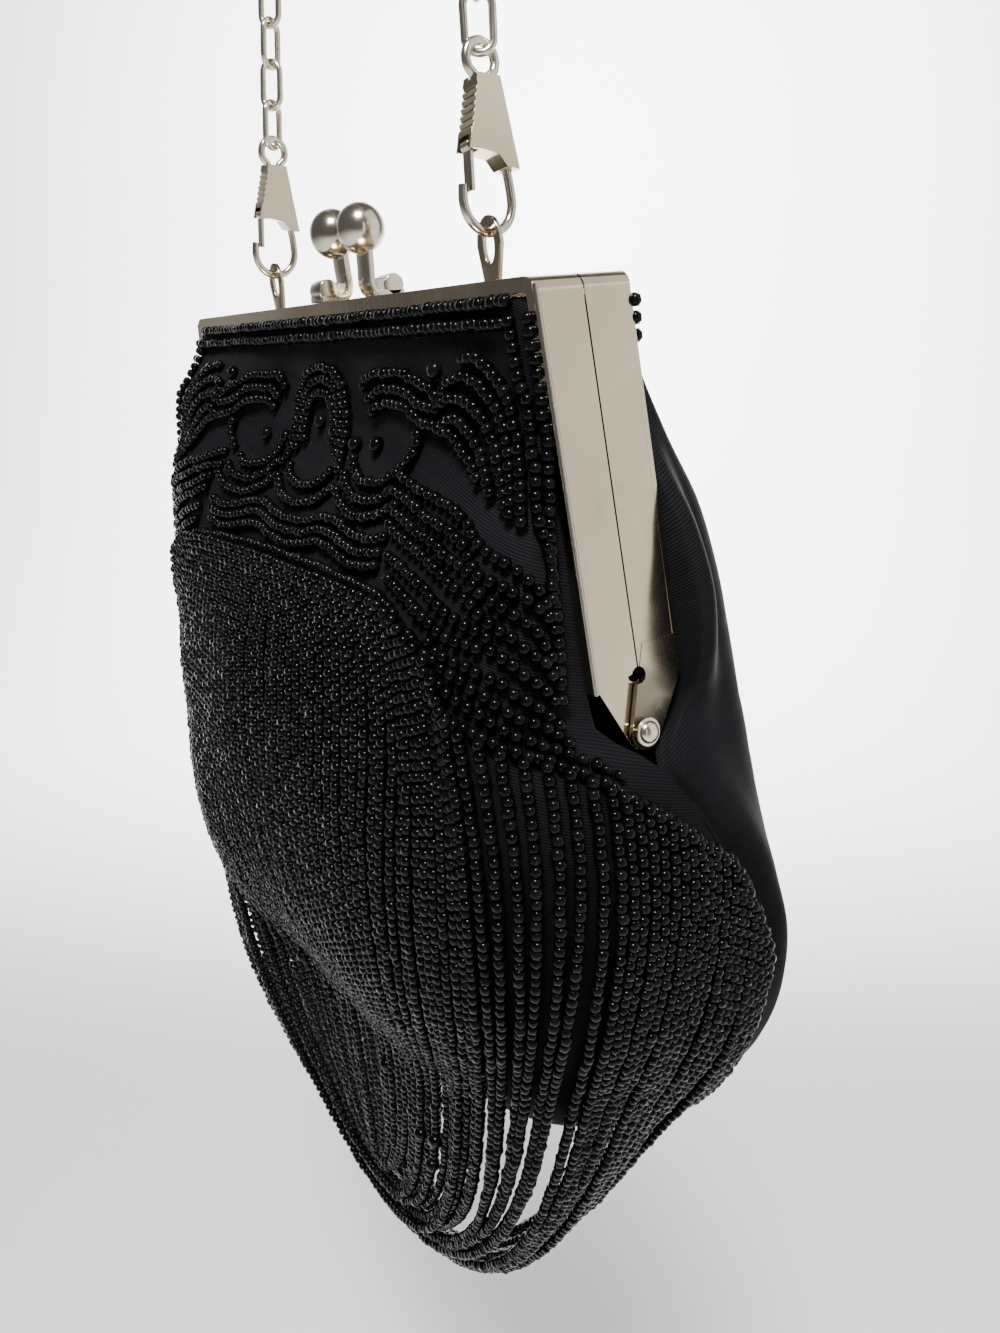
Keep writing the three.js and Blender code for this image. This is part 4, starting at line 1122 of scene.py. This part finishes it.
def stage_floor():
    """A pale floor that turns up into a wall."""
    deselect()
    bpy.ops.mesh.primitive_plane_add(size=1.0)
    sweep = bpy.context.object
    sweep.name = "floor"
    for vertex in sweep.data.vertices:
        vertex.co.x *= 2 * STAGE["half_width"]
        vertex.co.y = STAGE["back"] if vertex.co.y > 0 else -STAGE["front"]
    activate(sweep)
    bpy.ops.object.mode_set(mode="EDIT")
    bpy.ops.mesh.select_mode(type="EDGE")
    bpy.ops.mesh.select_all(action="DESELECT")
    bpy.ops.object.mode_set(mode="OBJECT")
    for edge in sweep.data.edges:
        edge.select = all(sweep.data.vertices[v].co.y > 0 for v in edge.vertices)
    bpy.ops.object.mode_set(mode="EDIT")
    bpy.ops.mesh.extrude_region_move(TRANSFORM_OT_translate={"value": (0, 0, STAGE["wall"])})
    bpy.ops.object.mode_set(mode="OBJECT")
    with_modifier(sweep, "BEVEL", width=STAGE["bend"], segments=16, limit_method="ANGLE")
    settle(sweep, Matrix.Rotation(math.radians(50), 4, "Z"))
    settle(sweep, Matrix.Translation((0, 0, FLOOR_HEIGHT)))
    smooth(sweep, 60)
    paper = Finish("pale_paper", Roughness=0.9, Specular_IOR_Level=0.2)
    grain = paper.noise(3.0, 2.0)
    paper.drive("Base Color", paper.mixed(grain, *PAPER))
    sweep.data.materials.append(paper.material)


def area_light(name, place, aim, size, power, spread):
    data = bpy.data.lights.new(name, "AREA")
    data.shape = "RECTANGLE"
    data.size, data.size_y = size
    data.energy = power
    data.spread = math.radians(spread)
    light = bpy.data.objects.new(name, data)
    light.location = place
    light.rotation_euler = (Vector(aim) - Vector(place)).to_track_quat("-Z", "Y").to_euler()
    bpy.context.scene.collection.objects.link(light)


def studio():
    world = bpy.data.worlds.new("studio")
    world.use_nodes = True
    sky = world.node_tree.nodes["Background"].inputs
    sky["Color"].default_value = WORLD["colour"]
    sky["Strength"].default_value = WORLD["strength"]
    bpy.context.scene.world = world
    for name, settings in LIGHTS.items():
        area_light(name, *settings)


def camera():
    data = bpy.data.cameras.new("camera")
    data.lens = CAMERA["lens"]
    data.sensor_width = 36.0
    data.clip_start = 0.01
    data.clip_end = 50.0
    eye = bpy.data.objects.new("camera", data)
    eye.location = CAMERA["place"]
    eye.rotation_euler = Vector(CAMERA["aim"]).to_track_quat("-Z", "Y").to_euler()
    bpy.context.scene.collection.objects.link(eye)
    bpy.context.scene.camera = eye


# Making

camera()
studio()
stage_floor()

front = finished(cloth_panel("front_cloth", "front", front_folds), SATIN, "satin", "front_panel")
back = finished(cloth_panel("back_cloth", "back", back_folds), SATIN, "satin", "back_panel")

for beadwork in (border_beads(), scroll_beads(), fan_beads()):
    finished(beadwork, GLASS, "beads")
for beadwork in (header_beads(), *fringe_beads()):
    finished(beadwork, GLASS, "beads", "fringe")

for half, plate in (("frame_front", NICKEL), ("frame_back", BENT_NICKEL)):
    finished(solid_copy(half, f"{half}_plate"), plate, "nickel", half)
finished(chain(), BRIGHT_NICKEL, "nickel", "chain")
for facing, half in ((-1, "front"), (1, "back")):
    finished(clasp(f"clasp_{half}_ball", facing), BRIGHT_NICKEL, "nickel", f"clasp_{half}")
for sign, side in ((-1, "left"), (1, "right")):
    place = hook_matrix(side)
    hook = wire(f"hook_{side}_wire", hook_route(), HOOK["wire"], place)
    finished(hook, BRIGHT_NICKEL, "nickel", f"hook_wire_{side}")
    sleeve = solid_copy(f"hook_sleeve_{side}", f"hook_{side}_sleeve", SLEEVE_EDGE, 2)
    finished(sleeve, NICKEL, "nickel", f"hook_sleeve_{side}")
    finished(frame_lip(f"frame_{side}_lip", sign), BRIGHT_NICKEL, "nickel", "frame_front")
    finished(lug(f"lug_{side}_eye", sign), NICKEL, "nickel", f"lug_{side}")
    finished(hinge_rivet(f"hinge_{side}_rivet", sign), BRIGHT_NICKEL, "nickel", f"hinge_rivet_{side}")
    gate = solid_copy(f"hook_gate_{side}", f"hook_{side}_gate", GATE_EDGE, 2)
    finished(gate, BRIGHT_NICKEL, "nickel", f"hook_gate_{side}", body=f"gate_{side}")

deselect()
